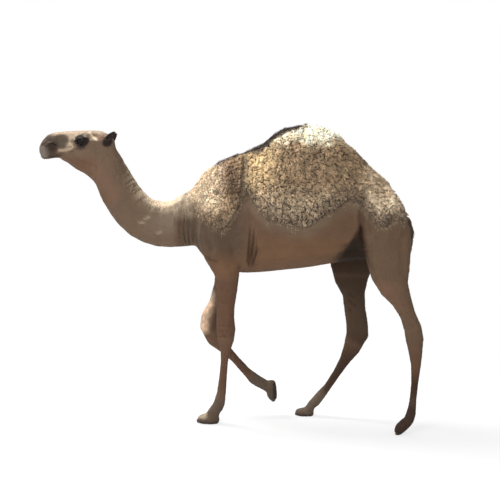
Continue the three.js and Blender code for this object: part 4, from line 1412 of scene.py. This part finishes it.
def make_fringes():
    """Wisps at the fleece's edge, the dark crest, nape, tail, ear hair, chin and eyelashes."""
    p = net.p
    groups = []

    def fringe(amount, *shape, tint=None, share=0.0, way=None):
        """Long hairs of one shape, with a share of their colour taken from a tone."""
        bed = sow(amount)
        if tint:
            bed["tint"] = (1 - share) * bed["tint"] + share * TONES[tint]
        groups.append(long_hairs(bed, *shape, way=way))

    trunk = total(parts, TRUNK)
    neck = total(parts, NECK)
    ears = total(parts, EARS)
    edge = bell((woolly_all - 0.42) / 0.30) * (woolly_all > 0.03) * (trunk > 0.3)
    crest = trunk * smooth(0.060, 0.026, off_ridge(p)) * smooth(0.115, 0.07, np.abs(p[:, 1]))
    # hairs to the square metre, length, width, stand, droop, tones of root and tip, spread
    fringe(edge * 5200, 0.022, 0.0030, 0.34, 0.30, 0.70, 1.45, 0.6, tint="nape", share=0.55)
    fringe(crest * 30000, 0.031, 0.0026, 0.85, 0.55, 0.75, 1.05, 0.25, tint="crest", share=0.7)
    fringe(neck * streak(p, NAPE, 0.052, fade=0) * 15000, 0.026, 0.0034, 0.26, 0.22, 0.85, 1.15, 0.18)
    fringe(parts["tail"] * smooth(1.40, 1.34, p[:, 2]) * 16000, 0.040, 0.0030, 0.06, 0.06, 0.8, 1.1, 0.10)
    fringe(ears * 9000, 0.013, 0.0018, 0.30, 0.20, 0.8, 1.15, 0.3)
    for name in EARS:
        leaf = points_of(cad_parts[name].data)
        tip = leaf[np.argmax(leaf @ np.array([0.8, 0.0, 0.6]))]
        near_tip = ears * smooth(0.024, 0.010, np.linalg.norm(p - tip, axis=1))
        way = np.array([1.0, 0.0, 0.05])
        fringe(near_tip * 90000, 0.015, 0.0026, 0.02, 0.02, 0.9, 1.1, 0.05, way=way)
    chin = parts["head"] * smooth(-1.19, -1.24, p[:, 0]) * smooth(1.83, 1.79, p[:, 2])
    fringe(chin * 6000, 0.014, 0.0010, 0.7, 0.3, 0.8, 1.1, 0.3)
    groups += [lashes(eye) for eye in eyes.values()]
    coat_piece("long_hairs", groups, hair)


def lashes(eye):
    """Three rows of long lashes on the upper lid and a short row on the lower one."""
    at, tips = [], []
    for height, count, shift, length in LASH_ROWS:
        for k in range(count):
            t = (k + 0.5) / count * 2 - 1 + shift  # from one corner of the eye to the other
            forward, up = 0.0245 * t, height * (1 - 0.75 * t * t) - EYE_TILT * 0.0245 * t
            out = math.sqrt(max((eye["radius"] + 0.0035) ** 2 - forward**2 - up**2, 0.00008))
            at.append((-forward, out * eye["sign"], up))
            tips.append((-0.35 * t - 0.15, 0.85 * eye["sign"], -0.15 if height > 0 else -0.6, length))
    at = np.array(at) + np.array(eye["at"])
    tips = np.array(tips)
    count = len(at)
    reach = tips[:, 3:] * rng.uniform(0.8, 1.1, (count, 1))
    way = unit(tips[:, :3] + rng.normal(0, 0.10, (count, 3)))
    s = np.linspace(0, 1, 5)[None, :, None]
    line = at[:, None] + reach[:, None] * (s * way[:, None] + np.array([0, 0, -0.30]) * s**2)
    bed = {
        "at": at, "up": np.repeat([[0.0, 0.0, 1.0]], count, axis=0),
        "tint": np.repeat(TONES["lid"][None] * 0.8, count, axis=0),
        "uv": unrolled(at, np.zeros(count, int), *coat_map),
    }
    half = np.repeat([[0.0007, 0.0007, 0.0006, 0.0004]], count, axis=0)
    return strands(bed, line, half, half, 0.9, 1.1)


# ---- eyes and toenails ----

def make_eye(side):
    """An eyeball with a bulging front, a dark brown iris and a lying oval pupil."""
    eye = eyes[side]
    bm = bmesh.new()
    bmesh.ops.create_uvsphere(bm, u_segments=40, v_segments=26, radius=eye["radius"])
    for vert in bm.verts:
        x, y, z = vert.co
        vert.co = (x, z * eye["sign"], y)  # the pole looks outwards
        away = math.hypot(vert.co.x, vert.co.z)
        if vert.co.y * eye["sign"] > 0:
            vert.co.y += 0.0020 * math.exp(-((away / 0.011) ** 4)) * eye["sign"]
        vert.co += eye["at"]
    bmesh.ops.recalc_face_normals(bm, faces=bm.faces)
    ball = finished(f"eyeball_{side}", bm)
    q = points_of(ball.data) - np.array(eye["at"])
    front = q[:, 1] * eye["sign"] > 0
    iris = smooth(0.0165, 0.0145, np.hypot(q[:, 0], q[:, 2])) * front
    pupil = smooth(1.1, 0.9, np.hypot(q[:, 0] / 0.0105, q[:, 2] / 0.0065)) * front
    colour = np.repeat(TONES["eyeball"][None], len(q), axis=0)
    put_tint(ball.data, paint(colour, ("iris", iris), ("pupil", pupil)))
    ball.data.materials.append(wet_eye)
    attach(ball, "root")
    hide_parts(f"eye_{side}")


def make_nail(name):
    """A toenail rounded off from its solid."""
    bm = bmesh.new()
    bm.from_mesh(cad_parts[name].data)
    bmesh.ops.remove_doubles(bm, verts=bm.verts, dist=WELD)
    bmesh.ops.subdivide_edges(bm, edges=bm.edges, cuts=1, use_grid_fill=True)
    bmesh.ops.smooth_vert(bm, verts=bm.verts, factor=0.5, use_axis_x=True, use_axis_y=True, use_axis_z=True)
    bmesh.ops.triangulate(bm, faces=bm.faces)
    nail = finished(name.replace("toenail", "nail"), bm)
    rounding = nail.modifiers.new("rounding", "SUBSURF")
    rounding.levels = rounding.render_levels = 1
    nail.data.materials.append(horn)
    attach(nail, "root")
    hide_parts(name)


# ---- the making ----

studio()
eyes = eye_sockets()
skin, net, owner, parts, woolly_all, lies = make_skin()
shares = np.stack(list(parts.values()), axis=1)
normal = net.normals()
coat_map = map_cells(net, owner)
# painted shade: the skin a little darker under the fleece
put_tint(skin.data, 0.93 * markings_light_and_shade(net.p, normal, parts, woolly_all) * (1 - 0.04 * woolly_all[:, None]))

hide = body_material("hide", 0.78, 0.04, 420, 0.0010, 0.14)
hair = body_material("short_hair", 0.84, 0.06, 700, 0.0004, 0.12)
fleece_hair = body_material("fleece", 0.90, 0.10, 520, 0.0006, 0.14)
wet_eye = eye_material()
horn = horn_material()

skin.data.materials.append(hide)
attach(skin, "root")
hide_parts(*FLESH)
make_short_coat()
make_fleece()
make_fringes()
for side in SIDES:
    make_eye(side)
for name in NAILS:
    make_nail(name)
